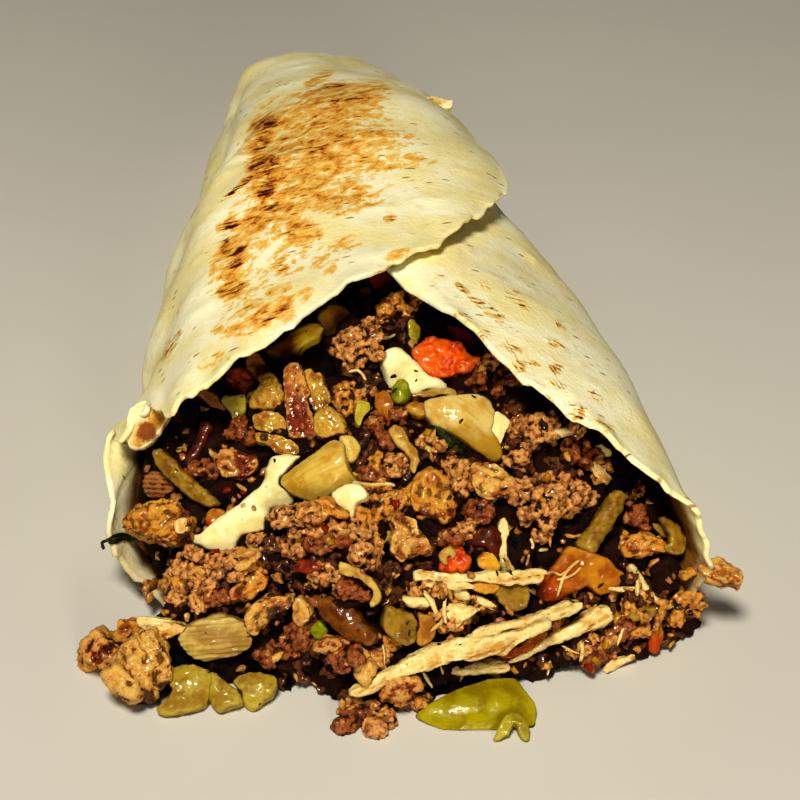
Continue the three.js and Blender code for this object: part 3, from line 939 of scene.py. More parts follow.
TOASTED = rows_of(
    Patch,
    328, 150, 76, 62, 0.4, 0, 276, 175, 34, 66, 0.5, 0, 250, 265, 44, 56, 0.36, 0, 262, 312, 40, 24, 0.34, 20,
    300, 205, 62, 24, 0.35, 5, 330, 110, 60, 26, 0.35, 5, 320, 78, 16, 5, 0.75, 25, 343, 91, 46, 8, 0.75, 8,
    372, 92, 16, 9, 0.6, 10, 335, 107, 40, 10, 0.75, 5, 266, 124, 17, 10, 1, 20, 330, 118, 34, 14, 0.7, 8,
    263, 146, 15, 18, 0.9, 10, 265, 167, 18, 13, 1, 15, 342, 142, 64, 13, 0.8, 4, 320, 166, 38, 13, 0.85, 8,
    395, 162, 38, 8, 0.65, 4, 262, 192, 18, 13, 0.85, 20, 312, 195, 38, 15, 0.8, 8, 364, 199, 18, 12, 0.6, 8,
    241, 223, 24, 7, 0.7, 15, 262, 222, 17, 12, 0.8, 20, 305, 234, 17, 12, 0.75, 10,
    234, 250, 22, 11, 0.8, 18, 296, 259, 22, 14, 0.45, 15, 343, 244, 21, 9, 0.6, 12, 400, 254, 16, 7, 0.7, 12,
    386, 274, 18, 6, 0.8, 18, 233, 271, 22, 10, 0.8, 18, 325, 264, 12, 10, 0.75, 12,
    230, 290, 19, 9, 0.75, 18, 272, 313, 25, 10, 0.85, 25, 306, 295, 8, 7, 0.7, 20, 228, 329, 17, 9, 0.65, 25,
    243, 338, 10, 6, 0.5, 25, 215, 362, 18, 8, 0.5, 25,
)
BURNT_MARKS_AND_CREASE_SHADE = rows_of(
    Patch,
    266, 124, 13, 6, 0.8, 20, 262, 145, 9, 7, 0.6, 10, 264, 166, 15, 8, 1, 15, 266, 190, 13, 6, 0.9, 20,
    272, 208, 11, 5, 0.8, 20, 228, 225, 12, 4, 1.1, 15, 253, 219, 8, 4, 0.9, 20, 228, 239, 10, 5, 1.2, 8,
    234, 251, 12, 5, 0.9, 15, 280, 267, 6, 4, 1, 20, 233, 264, 10, 4, 0.8, 18, 232, 290, 20, 6, 0.7, 18,
    391, 219, 7, 4, 1, 20, 272, 316, 20, 5, 0.7, 25, 305, 226, 13, 3, 0.8, 0, 305, 246, 12, 3, 0.8, 0,
    291, 236, 3, 8, 0.8, 0, 320, 235, 3, 8, 0.8, 0, 330, 86, 18, 3, 0.7, 10, 345, 101, 20, 3, 0.6, 8,
    310, 150, 18, 3, 0.5, 5, 350, 165, 20, 3, 0.5, 5, 342, 212, 9, 4, 0.8, 15, 386, 274, 14, 4, 0.9, 20,
    # the row at 236, 189 paints a dark line of shade in the crease at the edge of the upper lap, not a burn
    360, 284, 8, 4, 0.8, 15, 173, 343, 18, 4, 1.2, 62, 166, 354, 12, 4, 0.9, 50, 236, 189, 19, 2, 2.4, 38,
    176, 410, 8, 4, 0.6, 30,
)
BURNT_RIGHT = rows_of(
    Patch,
    461, 288, 9, 3, 0.9, -38, 487, 308, 20, 4, 0.9, -32, 492, 316, 14, 3, 0.8, -40, 464, 317, 9, 3, 0.8, -15,
    483, 282, 6, 5, 0.5, -40, 513, 296, 7, 6, 0.8, 0, 522, 305, 6, 4, 0.9, -20, 560, 325, 5, 4, 0.8, -50,
    556, 345, 14, 3, 0.9, -30, 555, 367, 6, 5, 1.1, 10, 534, 365, 7, 3, 0.9, -10, 511, 348, 11, 3, 0.9, -15,
    560, 386, 9, 3, 0.8, -10, 595, 395, 8, 3, 0.9, -40, 519, 367, 7, 5, 1, 40, 577, 412, 10, 7, 1.1, -20,
    605, 427, 10, 5, 0.8, -30, 480, 335, 8, 4, 1, -45, 533, 388, 7, 7, 0.6, 0, 545, 397, 8, 4, 0.7, -30,
)


@dataclass
class Tortilla:
    """The rolled sheet, from its mouth to the fold that closes its far end.

    A turn of 0 is the middle of the underside, 0.5 the right side, -0.5 the left side and 1 the top.
    """

    sight: Sight
    bread: float = 2.4
    far_end: float = 100.0
    end_depth: float = 5.0
    sink: float = 0.2
    lap_lift: float = 2.9
    columns: int = 360
    rim_rows: int = 5
    thin_rows: int = 16
    body_rows: int = 176
    end_rows: int = 22
    first_turn: float = -1.31
    last_turn: float = 1.2
    mouth_arc: float = 125.0  # millimetres round the mouth for a turn of 1
    side_arc: float = 100.0  # the same along the two side edges
    tuck: float = 86.0  # how far the closed end bends down, in degrees
    side_turn: float = 0.45  # the turn where each side begins
    merge: float = 0.015  # how near two vertices count as one, in millimetres
    samples: int = 2000
    seed: int = 11
    blisters: int = 240
    half_width: SmoothCurve = SmoothCurve(
        -112, 56, -88, 53, -62, 49.5, -22, 42, 18, 34.5, 48, 29.5, 76, 23.5, 90, 20, 100, 17.5,
    )
    full_height: SmoothCurve = SmoothCurve(
        -112, 43, -88, 45, -48, 46, -8, 45, 30, 41, 60, 34, 80, 27, 92, 22.5, 100, 18.5,
    )
    mouth: SmoothCurve = SmoothCurve(
        -1.31, 22, -1.27, 4, -1.235, -5, -1.17, -17, -1.02, -39.5, -0.9, -53, -0.79, -62.5, -0.735, -62.8,
        -0.69, -57, -0.65, -52.5, -0.615, -52, -0.585, -56.5, -0.55, -49.8, -0.515, -56, -0.46, -65,
        -0.33, -73, -0.1, -83, 0.15, -88, 0.45, -89, 0.63, -87, 0.77, -76.8, 0.83, -70, 0.87, -63.5,
        0.94, -47.5, 1, -31, 1.2, 4,
    )
    stain: Patch = Patch(147, 430, 16, 11, 2.4, 65)
    # how far from the rim the lining stays cream before its painted shade begins, in millimetres, round the
    # roll
    unshaded_band: SmoothCurve = SmoothCurve(
        -1.31, 3, -0.66, 3, -0.56, 16, -0.5, 14, -0.4, 4, -0.3, 2, 0.44, 1.5, 0.54, 4, 1.2, 4,
    )
    column_density: SmoothCurve = SmoothCurve(
        -1.31, 2.2, -1.22, 1.6, -1.1, 1, -0.45, 1, -0.3, 0.4, 0.3, 0.4, 0.42, 1, 1.04, 1, 1.1, 0.4, 1.2, 0.4,
    )
    swells: tuple[Swell, ...] = rows_of(
        Swell,
        -0.77, 88, 9, 9, 3.2, -0.58, 84, 10, 12, 2.2, -0.58, 60, 10, 12, 1.6, -0.57, 45, 9, 7, 0.8,
        -0.57, 29.5, 9, 4, -1.8, -0.57, 13, 10, 11, 1.5, -0.56, -2, 9, 8, 0.8, -0.56, -39, 9, 7, -2.6,
        -0.765, 26, 3.5, 6, -1.7, -0.745, 18, 3.6, 6, -2, -0.715, 12, 3.6, 5, -1.6, -0.805, 18, 3, 14, 1.3,
        -0.7, 22, 3.5, 10, 1, -0.7, 6, 6, 8, 0.9, -0.9, 6, 9, 14, 0.5, -1.17, 6, 7, 16, 0.7,
        0.83, -40, 8, 9, 0.9, 0.72, -22, 7, 12, -0.8, 0.92, -22, 5, 8, 0.7, 0.66, -66, 5, 7, 0.7,
        -0.58, -30, 9, 16, 0.8, -0.5, -8, 8, 12, -0.8, -0.64, -12, 4, 18, -0.5,
    )
    folds: tuple[float, ...] = (-1.06, -0.86, -0.62, -0.41, -0.2, 0.08, 0.31, 0.52)

    def stand_out(self, turn: Array, y: Array) -> Array:
        """Returns how far the upper lap, its raised edge and the lip stand out."""
        from_edge = y - self.mouth(turn)
        lap = self.lap_lift * ease((-turn - 0.66) / 0.12)
        raised = 1.8 * ease((-turn - 0.98) / 0.25) * bell(from_edge, 22.0)
        lip = 2.0 * bell(turn + 0.47, 0.12) * bell(from_edge, 14.0)
        tip = 2.4 * bell(turn + 0.55, 0.035) * bell(from_edge, 6.0)
        return lap + raised + lip + tip

    def waves(self, turn: Array, y: Array) -> Array:
        """Returns the sheet's slow waves."""
        angle = math.pi * turn
        slow = 0.8 * np.sin(2.0 * angle + y / 14.0) + 0.6 * np.sin(3.0 * angle - y / 19.0 + 1.2)
        fine = 0.5 * np.sin(5.0 * angle + y / 31.0 + 0.5)
        return (slow + fine) * ease((self.far_end + 4.0 - y) / 25.0)

    def ripple(self, turn: Array) -> Array:
        """Returns how far the torn rim of the mouth runs in and out."""
        wide = 0.6 * np.sin(turn * 31.0 + 1.0) + 0.5 * np.sin(turn * 67.0 + 2.0)
        fine = 0.4 * np.sin(turn * 141.0) + 0.3 * np.sin(turn * 233.0 + 0.7) + 0.2 * np.sin(turn * 337.0)
        tab = 2.8 * bell(turn - 0.853, 0.013)
        return (wide + fine) * (1.0 - 0.8 * bell(turn - 0.5, 0.1)) - tab

    def arc(self, turn: Array, y: Array) -> Array:
        """Returns the length round the roll from the middle of the underside, in millimetres."""
        return math.pi * turn * (0.5 * self.half_width(y) + 0.3 * self.full_height(y))

    def relief(self, turn: Array, y: Array, dice: Dice) -> Array:
        """Returns swells, small blisters and the wavy rim, in millimetres outwards."""
        along = self.arc(turn, y)
        rise = np.zeros_like(y)
        for swell in self.swells:
            across = along - self.arc(np.array(swell.turn), np.array(swell.y))
            rise += swell.height * np.exp(-((across / swell.wide) ** 2) - ((y - swell.y) / swell.long) ** 2)
        for _ in range(self.blisters):
            centre_turn = dice.uniform(-1.25, 1.05)
            centre_y = dice.uniform(-85.0, 90.0)
            radius = dice.uniform(1.0, 2.6)
            height = dice.uniform(0.1, 0.34)
            across = along - self.arc(np.array(centre_turn), np.array(centre_y))
            rise += height * np.exp(-((across / (1.7 * radius)) ** 2) - ((y - centre_y) / radius) ** 2)
        from_edge = y - self.mouth(turn)
        rim = 0.5 * np.sin(turn * 44.0) + 0.35 * np.sin(turn * 83.0 + 1.0)
        rise += rim * bell(from_edge, 4.0)
        rise += 0.35 * np.sin(y / 5.3 + 2.0 * np.sin(turn * 9.0)) * np.sin(turn * 17.0 + y / 16.0)
        return rise

    def creases(self, turn: Array, y: Array, closing: Array) -> Array:
        """Returns the gathers of the tucked end, in millimetres outwards."""
        strength = 0.35 * ease((y - self.far_end + 26.0) / 26.0) + 1.1 * ease(closing * 1.6)
        gathers = np.zeros_like(y)
        for number, fold_turn in enumerate(self.folds):
            slant = fold_turn + 0.035 * math.sin(number * 2.3) * closing
            gap = turn - slant
            depth = 0.7 + 0.5 * math.sin(number * 1.7) ** 2
            gathers += depth * (0.8 * bell(gap - 0.045, 0.05) - 1.2 * bell(gap, 0.022))
        return gathers * strength

    def surface(self, turn: Array, y: Array, closing: Array, depth: Array, out: Array) -> Array:
        """Returns points of the sheet.

        Args:
            turn: Where round the roll.
            y: Where along it.
            closing: The share of the closed end that is passed, 0 before it.
            depth: How far below the outer face.
            out: How far the outer face stands out of the plain roll.

        Returns:
            Rows of [x, y, z] in roll millimetres.
        """
        angle = math.pi * turn
        width = self.half_width(y)
        height = self.full_height(y)
        radius = height * (1.0 + self.sink) / 2.0
        x = (width + out - depth) * np.sin(angle)
        z = radius - self.sink * height - (radius + out - depth) * np.cos(angle)
        z = np.maximum(z, depth)
        swing = closing * math.radians(self.tuck)
        middle = height / 2.0
        covered = self.lap_lift * ease((turn - 0.6) / 0.1)
        reach = self.end_depth - covered - depth + 0.55 * (out - self.stand_out(turn, y))
        return np.stack((
            x * np.cos(swing),
            y + reach * np.sin(swing),
            np.maximum(middle + (z - middle) * np.cos(swing), 0.0),
        ), axis=1)

    def face(self, name: str, is_inner: bool) -> Piece:
        """Bends one grid into the outer or inner face of the sheet.

        Args:
            name: The new piece's name.
            is_inner: Whether it is the inner face.

        Returns:
            The bent face, in metres in the part's frame.
        """
        rows = self.rim_rows + self.body_rows + self.end_rows
        deselect_all()
        bpy.ops.mesh.primitive_grid_add(x_subdivisions=self.columns, y_subdivisions=rows, size=1.0)
        piece = bpy.context.active_object
        piece.name = name
        flat = points_of(piece)
        fine = np.linspace(self.first_turn, self.last_turn, self.samples)
        travelled = np.concatenate(([0.0], np.cumsum(self.column_density(fine[1:]))))
        turn = np.interp(flat[:, 0] + 0.5, travelled / travelled[-1], fine)
        row = (flat[:, 1] + 0.5) * rows

        step = 0.004
        edge = self.mouth(turn) + self.ripple(turn)
        arc_slope = (self.mouth(turn + step) - self.mouth(turn - step)) / (2.0 * step * self.mouth_arc)
        half = self.bread / 2.0 * (0.45 + 0.55 * ease((row - self.rim_rows) / self.thin_rows))
        rim_reach = half * np.sqrt(1.0 + arc_slope**2)
        in_rim = np.clip(row / self.rim_rows, 0.0, 1.0)
        in_body = np.clip((row - self.rim_rows) / self.body_rows, 0.0, 1.0)
        closing = np.clip((row - self.rim_rows - self.body_rows) / self.end_rows, 0.0, 1.0)
        rim_y = edge + rim_reach * (1.0 - np.cos(in_rim * math.pi / 2.0))
        y = rim_y + (self.far_end - rim_y) * in_body**1.2

        from_front = half * (1.0 - np.cos(in_rim * math.pi / 2.0))
        from_sides = np.minimum(turn - self.first_turn, self.last_turn - turn) * self.side_arc
        from_end = (rows - row) * 0.5
        inset = np.clip(np.minimum(np.minimum(from_front, from_sides), from_end), 0.0, half)
        thick = np.sqrt(half**2 - (half - inset) ** 2)
        depth = half + thick if is_inner else half - thick

        dice = np.random.default_rng(self.seed)
        relief = self.relief(turn, y, dice) * ease((self.far_end - y) / 20.0)
        out = self.stand_out(turn, y) + self.waves(turn, y) + relief + self.creases(turn, y, closing)
        points = self.surface(turn, y, closing, depth, out)
        store(piece, "sheet", np.stack((self.arc(turn, y), y, np.zeros_like(y)), axis=1) * MM)
        move_points(piece, (points + ROLL_SHIFT) * MM)
        self.store_toast(piece, turn, is_inner, in_rim, y - rim_y)
        if is_inner:
            with edit_mode(piece):
                bpy.ops.mesh.flip_normals()
        return piece

    def store_toast(self, piece: Piece, turn: Array, is_inner: bool, in_rim: Array, from_rim: Array) -> None:
        """Keeps where the sheet is toasted and blistered, and where it is painted dark as shade with grease
        marks.

        Args:
            piece: The bent face that gets the attributes "toast", "char" and "inner".
            turn: Where round the roll each vertex is.
            is_inner: Whether it is the inner face.
            in_rim: The share of the rim that is passed, 1 behind it.
            from_rim: How far behind the rim it is, in millimetres.
        """
        toast = np.zeros(len(turn))
        char = np.zeros(len(turn))
        seen = self.sight.seen_at(points_of(piece))
        if not is_inner:
            left = turn < -self.side_turn
            bare = np.ones(len(turn))
            for patch in TOASTED:
                bare *= 1.0 - np.minimum(patch.on(seen), 0.95) * left
            toast = 1.0 - bare
            for patch in BURNT_MARKS_AND_CREASE_SHADE:
                char = np.maximum(char, patch.on(seen) * left)
            for patch in BURNT_RIGHT:
                char = np.maximum(char, 1.6 * patch.on(seen) * (turn > self.side_turn))
        else:
            char = self.stain.on(seen) * (turn < 0.0) * (from_rim < 14.0)
        store(piece, "toast", toast)
        store(piece, "char", char)
        # painted shade: the outer face near the rim on the lower sides takes the dark lining colour, more on
        # the right, partly as grease marks
        share = np.where(turn > 0.0, 0.8, 0.4 * ease((turn + 0.5) / 0.06))
        on_side = ease((0.5 - np.abs(turn)) / 0.05) * ease((np.abs(turn) - 0.2) / 0.1)
        oil_and_shade_near_rim = share * on_side * ease((9.0 - from_rim) / 6.0)
        # painted shade: the lining turns dark beyond a band along the rim
        lining = ease((from_rim - 1.0) / self.unshaded_band(turn))
        rim = ease((0.9 - in_rim) / 0.9) * 0.2
        store(piece, "inner", np.maximum(lining if is_inner else rim, oil_and_shade_near_rim))

    def build(self) -> Piece:
        """Returns the whole sheet as one closed piece."""
        outer = self.face("tortilla_sheet", False)
        inner = self.face("tortilla_lining", True)
        select_only(outer)
        inner.select_set(True)
        bpy.ops.object.join()
        with edit_mode(outer):
            bpy.ops.mesh.remove_doubles(threshold=self.merge * MM)
        smooth_shading(outer)
        WARDROBE.dress(outer, TortillaFinish())
        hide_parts("tortilla")
        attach(outer, BODY)
        return outer


# ---- the view from before the mouth
class Sight:
    """The view from before the mouth, in which outlines are drawn. Its points start at the top left."""

    def __init__(self, studio: Studio) -> None:
        """Takes the view of the studio's camera."""
        self.back = np.array(studio.back())
        self.right = np.array((-self.back[1], self.back[0], 0.0)) / math.hypot(self.back[0], self.back[1])
        self.up = np.cross(self.back, self.right)
        self.eye = (np.array(studio.target) + self.back * studio.distance) * MM
        self.reach = PICTURE * studio.lens / SENSOR

    def rays(self, spots: Array) -> Array:
        """Returns the direction from the eye through each place in the picture."""
        aside = (spots[:, :1] - PICTURE / 2.0) / self.reach * self.right
        above = (PICTURE / 2.0 - spots[:, 1:]) / self.reach * self.up
        return aside + above - self.back

    def on_plane(self, spots: Array, middle: Array, normal: Array) -> Array:
        """Returns where the lines of sight through places in the picture meet a plane, in metres."""
        rays = self.rays(spots)
        distance = ((middle - self.eye) @ normal) / (rays @ normal)
        return self.eye + rays * distance[:, None]

    def meets(self, spot: Array, carrier: BVHTree) -> tuple[Array, Array] | None:
        """Returns the place and the normal of what is seen at a place in the picture, if anything."""
        ray = self.rays(spot[None, :])[0]
        place, normal, _, _ = carrier.ray_cast(Vector(self.eye), Vector(ray))
        return None if place is None else (np.array(place), np.array(normal))

    def seen_at(self, points: Array) -> Array:
        """Returns each point's place in the picture."""
        from_eye = points - self.eye
        depth = -(from_eye @ self.back)
        aside = PICTURE / 2.0 + self.reach * (from_eye @ self.right) / depth
        above = PICTURE / 2.0 - self.reach * (from_eye @ self.up) / depth
        return np.stack((aside, above), axis=1)


# ---- filling
@dataclass
class Heap:
    """The sloping top of the filling, in roll millimetres."""

    front: SmoothCurve = SmoothCurve(
        -58, -84, -50, -91, -42, -93, -29, -92, -22, -91, -14, -96, -8, -103, 0, -100, 10, -99, 20, -98,
        27, -95, 40, -94, 48, -91, 55, -84, 60, -76,
    )
    slope: SmoothCurve = SmoothCurve(
        0, 0, 4, 7.5, 15, 19, 28, 26.5, 42, 31.5, 57, 34.5, 77, 38, 102, 43, 200, 43,
    )

    def height(self, x: Array, y: Array) -> Array:
        """Returns the heap's height above the table."""
        behind = np.maximum(y - self.front(x), 0.0)
        shoulder = 1.0 - 0.28 * np.minimum(np.abs(x) / 52.0, 1.2) ** 2.5
        hollow = 6.0 * ease((-x - 34.0) / 12.0) * ease((y + 80.0) / 14.0)
        return self.slope(behind) * shoulder - hollow

    def normal(self, x: float, y: float) -> Array:
        """Returns the heap's upward direction at a place."""
        slope_x = (self.height(x + 2.0, y) - self.height(x - 2.0, y)) / 4.0
        slope_y = (self.height(x, y + 2.0) - self.height(x, y - 2.0)) / 4.0
        upward = np.array((-float(slope_x), -float(slope_y), 1.0))
        return upward / np.linalg.norm(upward)


def round_pebbles(rough: float, dice: Dice, count: int = 5) -> list[Shell]:
    """Makes rough pebbles of two dozen faces, about 1 across.

    Args:
        rough: How uneven they are, as a share of their radius.
        dice: The source of chance.
        count: How many different ones there are.

    Returns:
        The vertices and the faces of each.
    """
    deselect_all()
    bpy.ops.mesh.primitive_cube_add(size=1.0)
    piece = bpy.context.active_object
    with edit_mode(piece):
        bpy.ops.mesh.subdivide(number_cuts=1, smoothness=1.0)
    points = points_of(piece)
    points = 0.5 * points / np.linalg.norm(points, axis=1, keepdims=True)
    faces = faces_of(piece)
    bpy.data.objects.remove(piece)
    swells = [1.0 + rough * dice.uniform(-1.0, 1.0, (len(points), 1)) for _ in range(count)]
    return [(points * swell, faces) for swell in swells]


@dataclass(frozen=True)
class Crumble:
    """Crumbled meat of one colour.

    Attributes:
        name, finish: The piece's name and its finish.
        areas: Where its clumps show in the picture: x, y and two half-widths, one clump after another.
        seed: The start of its chance.
        base: The height of the body of each clump in millimetres; 0 where the lumps lie loose.
        lump, lump_area: Its lumps' least and greatest radius, and the area in square millimetres for each.
    """

    name: str
    finish: MeatFinish
    areas: tuple[int, ...]
    seed: int
    base: float = 1.7
    lump: tuple[float, float] = (1.0, 2.1)
    lump_area: float = 2.0


CRUMBLES = (
    Crumble("beef_dark", BEEF_DARK, (430, 440, 110, 60, 330, 440, 60, 50, 300, 600, 120, 50,
        560, 600, 120, 40, 225, 560, 55, 50, 640, 620, 50, 30, 390, 700, 50, 30, 375, 340, 40, 50,
        430, 570, 60, 50, 545, 440, 60, 50, 300, 668, 46, 24, 570, 655, 70, 12), 30, 0, (0.6, 1.5), 3.4),
    Crumble("beef_tan", BEEF, (512, 463, 12, 7, 435, 441, 14, 10, 456, 472, 13, 9, 463, 489, 12, 9,
        396, 470, 15, 10, 462, 528, 12, 8, 340, 532, 34, 10, 351, 526, 16, 10, 365, 553, 16, 13,
        255, 533, 14, 11, 215, 556, 26, 10, 196, 574, 28, 14, 232, 572, 16, 8, 200, 596, 24, 9,
        330, 575, 20, 12, 365, 712, 25, 12, 380, 728, 10, 12, 455, 612, 19, 16, 428, 592, 20, 9,
        481, 366, 14, 12, 540, 534, 8, 6, 380, 657, 12, 12, 300, 546, 20, 8, 560, 620, 12, 5, 600, 645, 18, 8,
        415, 625, 12, 8, 482, 505, 12, 6, 612, 590, 14, 6, 150, 590, 6, 8), 31),
    Crumble("beef_clumps", BEEF, (531, 428, 25, 20, 566, 431, 14, 10, 549, 500, 38, 24, 355, 343, 23, 20,
        305, 517, 36, 12, 212, 566, 26, 16), 34, 4.6),
    Crumble("beef_red", BEEF_RED, (584, 455, 19, 16, 502, 386, 12, 15, 388, 446, 12, 8, 404, 413, 15, 9,
        476, 514, 14, 9, 325, 546, 22, 7, 228, 596, 26, 9, 372, 428, 10, 6, 300, 638, 16, 12, 272, 650, 14, 9,
        640, 514, 11, 13, 625, 628, 22, 9, 590, 655, 20, 6, 345, 660, 18, 8, 370, 480, 14, 6, 350, 594, 18, 7,
        455, 540, 12, 8, 186, 508, 12, 6, 240, 436, 14, 8, 205, 470, 12, 6, 475, 383, 12, 8, 322, 598, 12, 8,
        350, 725, 12, 9), 32),
    Crumble("beef_gold", BEEF_GOLD, (385, 500, 19, 17, 402, 303, 18, 13, 384, 316, 9, 8, 172, 583, 12, 12,
        645, 544, 22, 8, 688, 603, 20, 11, 652, 604, 24, 8, 640, 622, 16, 7, 352, 404, 12, 10,
        378, 465, 14, 9, 90, 660, 14, 16, 365, 520, 13, 14, 108, 645, 14, 9, 598, 471, 8, 10, 250, 560, 16, 5,
        344, 404, 10, 12, 395, 690, 16, 8, 636, 496, 8, 6, 672, 612, 14, 9, 290, 486, 8, 4, 420, 700, 10, 5),
        33),
)
CORE_ROUGH = (Rough(CLOUDS, 4, 2.2), Rough(CELLS, 2.2, -1.2))
CRUMB_ROUGH = (Rough(CREASES, 2.4, 0.7), Rough(CELLS, 1.15, -0.9), Rough(CLOUDS, 0.6, 0.3))


@dataclass
class Beef:
    """The core of the filling, painted near-black as the shade between the toppings, and the crumbled beef
    that shows on it.
    """

    sight: Sight
    point: float = 0.18  # millimetres for a point of the picture, at the mouth
    core_voxel: float = 0.95  # the size of the core's faces in millimetres
    crumb_voxel: float = 0.34
    core_hollow: float = 0.6  # the depth in millimetres that counts as a full crevice
    crumb_hollow: float = 0.36
    pebble_rough: float = 0.16
    look_back: float = 4.0  # how far before a lump the search for a topping starts, in millimetres
    look_through: float = 16.0  # how far it goes

    def core(self) -> Piece:
        """Returns the core of the filling, roughened all over."""
        piece = copy_of_node("filling", "filling_core")
        remesh(piece, self.core_voxel, 2)
        return self.finished(piece, CORE, CORE_ROUGH, self.core_hollow)

    def finished(self, piece: Piece, finish: MeatFinish, rough: Sequence[Rough], hollow: float) -> Piece:
        """Roughens and dresses a piece of the filling.

        Args:
            piece: The piece.
            finish: Its finish.
            rough: The layers of relief on it.
            hollow: The depth in millimetres that counts as a full crevice.
        """
        for layer in rough:
            layer.shape(piece)
        keep_on_table(piece)
        finish_piece(piece, finish, hollow)
        if piece.name == "filling_core":
            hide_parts("filling")
        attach(piece, BODY)
        return piece

    def crumbled(self, crumble: Crumble, ground: BVHTree, toppings: BVHTree) -> Piece:
        """Returns the crumbled meat of one colour as one wrinkled piece.

        Args:
            crumble: The meat's clumps and finish.
            ground: The faces on which the clumps lie.
            toppings: The toppings' faces, which no lump may hide.
        """
        dice = np.random.default_rng(crumble.seed)
        pebbles = round_pebbles(self.pebble_rough, dice)
        points: list[Array] = []
        faces: list[Array] = []
        for x, y, wide, high in np.array(crumble.areas, dtype=float).reshape(-1, 4):
            found = self.sight.meets(np.array((x, y)), ground)
            reach = 0.08 * min(wide, high)
            if crumble.base and found is not None and not self.hides(found[0], reach, toppings):
                across = np.cross(found[1], self.sight.right)
                turned = np.stack((self.sight.right, across / np.linalg.norm(across), found[1]), axis=1)
                stretch = 2.0 * np.array((wide * self.point, high * self.point, crumble.base))
                shape, sides = pebbles[0]
                points.append((shape * stretch) @ turned.T * MM + found[0])
                faces.append(sides)
            area = math.pi * wide * high * self.point**2
            for _ in range(max(4, round(area / crumble.lump_area))):
                angle = dice.uniform(0.0, 2.0 * math.pi)
                spread = math.sqrt(dice.uniform(0.0, 1.0))
                size = dice.uniform(*crumble.lump)
                turn = dice.uniform(0.6, 1.25, 3)
                spot = np.array((x + wide * spread * math.cos(angle), y + high * spread * math.sin(angle)))
                found = self.sight.meets(spot, ground)
                if found is None:
                    continue
                middle = found[0] + found[1] * (crumble.base * (1.0 - spread**2) * MM)
                if self.hides(middle, size, toppings):
                    continue
                shape, sides = pebbles[dice.integers(len(pebbles))]
                points.append(shape * (2.0 * size * turn * MM) + middle)
                faces.append(sides)
        piece = join_meshes(crumble.name, points, faces)
        remesh(piece, self.crumb_voxel, 1)
        return self.finished(piece, crumble.finish, CRUMB_ROUGH, self.crumb_hollow)

    def hides(self, middle: Array, size: float, toppings: BVHTree) -> bool:
        """Returns whether a lump would lie in front of a topping, seen from before the mouth.

        Args:
            middle: The lump's middle in metres.
            size: Its radius in millimetres.
            toppings: The toppings' faces.
        """
        back = Vector(self.sight.back)
        offsets = ((0.0, 0.0), (0.8, 0.0), (-0.8, 0.0), (0.0, 0.8), (0.0, -0.8))
        hidden = 0
        for aside, above in offsets:
            start = Vector(middle + (self.sight.right * aside + self.sight.up * above) * (size * MM))
            eye_side = start + back * (self.look_back * MM)
            hidden += toppings.ray_cast(eye_side, -back, self.look_through * MM)[0] is not None
        return hidden >= 2


# ---- toppings
SOFT_ROUGH = (Rough(CLOUDS, 5, 0.5), Rough(CLOUDS, 1.4, 0.12))


@dataclass(frozen=True)
class Recipe:
    """How a kind of topping is finished.

    Attributes:
        slot, finish: The record's material slot, which is not used, and its finish.
        voxel: The size of its faces in millimetres.
        soften: How many times its surface is smoothed.
        rough: The layers of relief on it.
        ribs: The depth of ribs along it, in millimetres.
    """

    slot: str
    finish: Finish
    voxel: float = 0.34
    soften: int = 2
    rough: tuple[Rough, ...] = SOFT_ROUGH
    ribs: float = 0.0


MEAT_ROUGH = (Rough(CREASES, 4, 1.5), Rough(CREASES, 1.5, 0.55, 2.5), Rough(CLOUDS, 0.6, 0.22))
LUMPY_ROUGH = (
    Rough(CLOUDS, 5, 2.8), Rough(CLOUDS, 2.2, 1.5), Rough(CREASES, 3.2, 0.8), Rough(CREASES, 1.3, 0.5, 2),
    Rough(CLOUDS, 0.6, 0.2),
)
FLAKE_ROUGH = (Rough(CREASES, 2.4, 0.6, 1.6), Rough(CREASES, 1.2, 0.35), Rough(CLOUDS, 0.6, 0.15))
SKIN_ROUGH = (Rough(CLOUDS, 3.6, 0.6), Rough(CREASES, 1.4, 0.3))
SEEDY_ROUGH = (Rough(CLOUDS, 3.6, 0.6), Rough(CELLS, 1, -0.26))
STRIP_ROUGH = (Rough(CREASES, 3.4, 1, 2), Rough(CREASES, 1.2, 0.45, 2.5))
PULP_ROUGH = (Rough(CREASES, 3.2, 1.1), Rough(CELLS, 1.7, -0.4), Rough(CLOUDS, 0.7, 0.2))
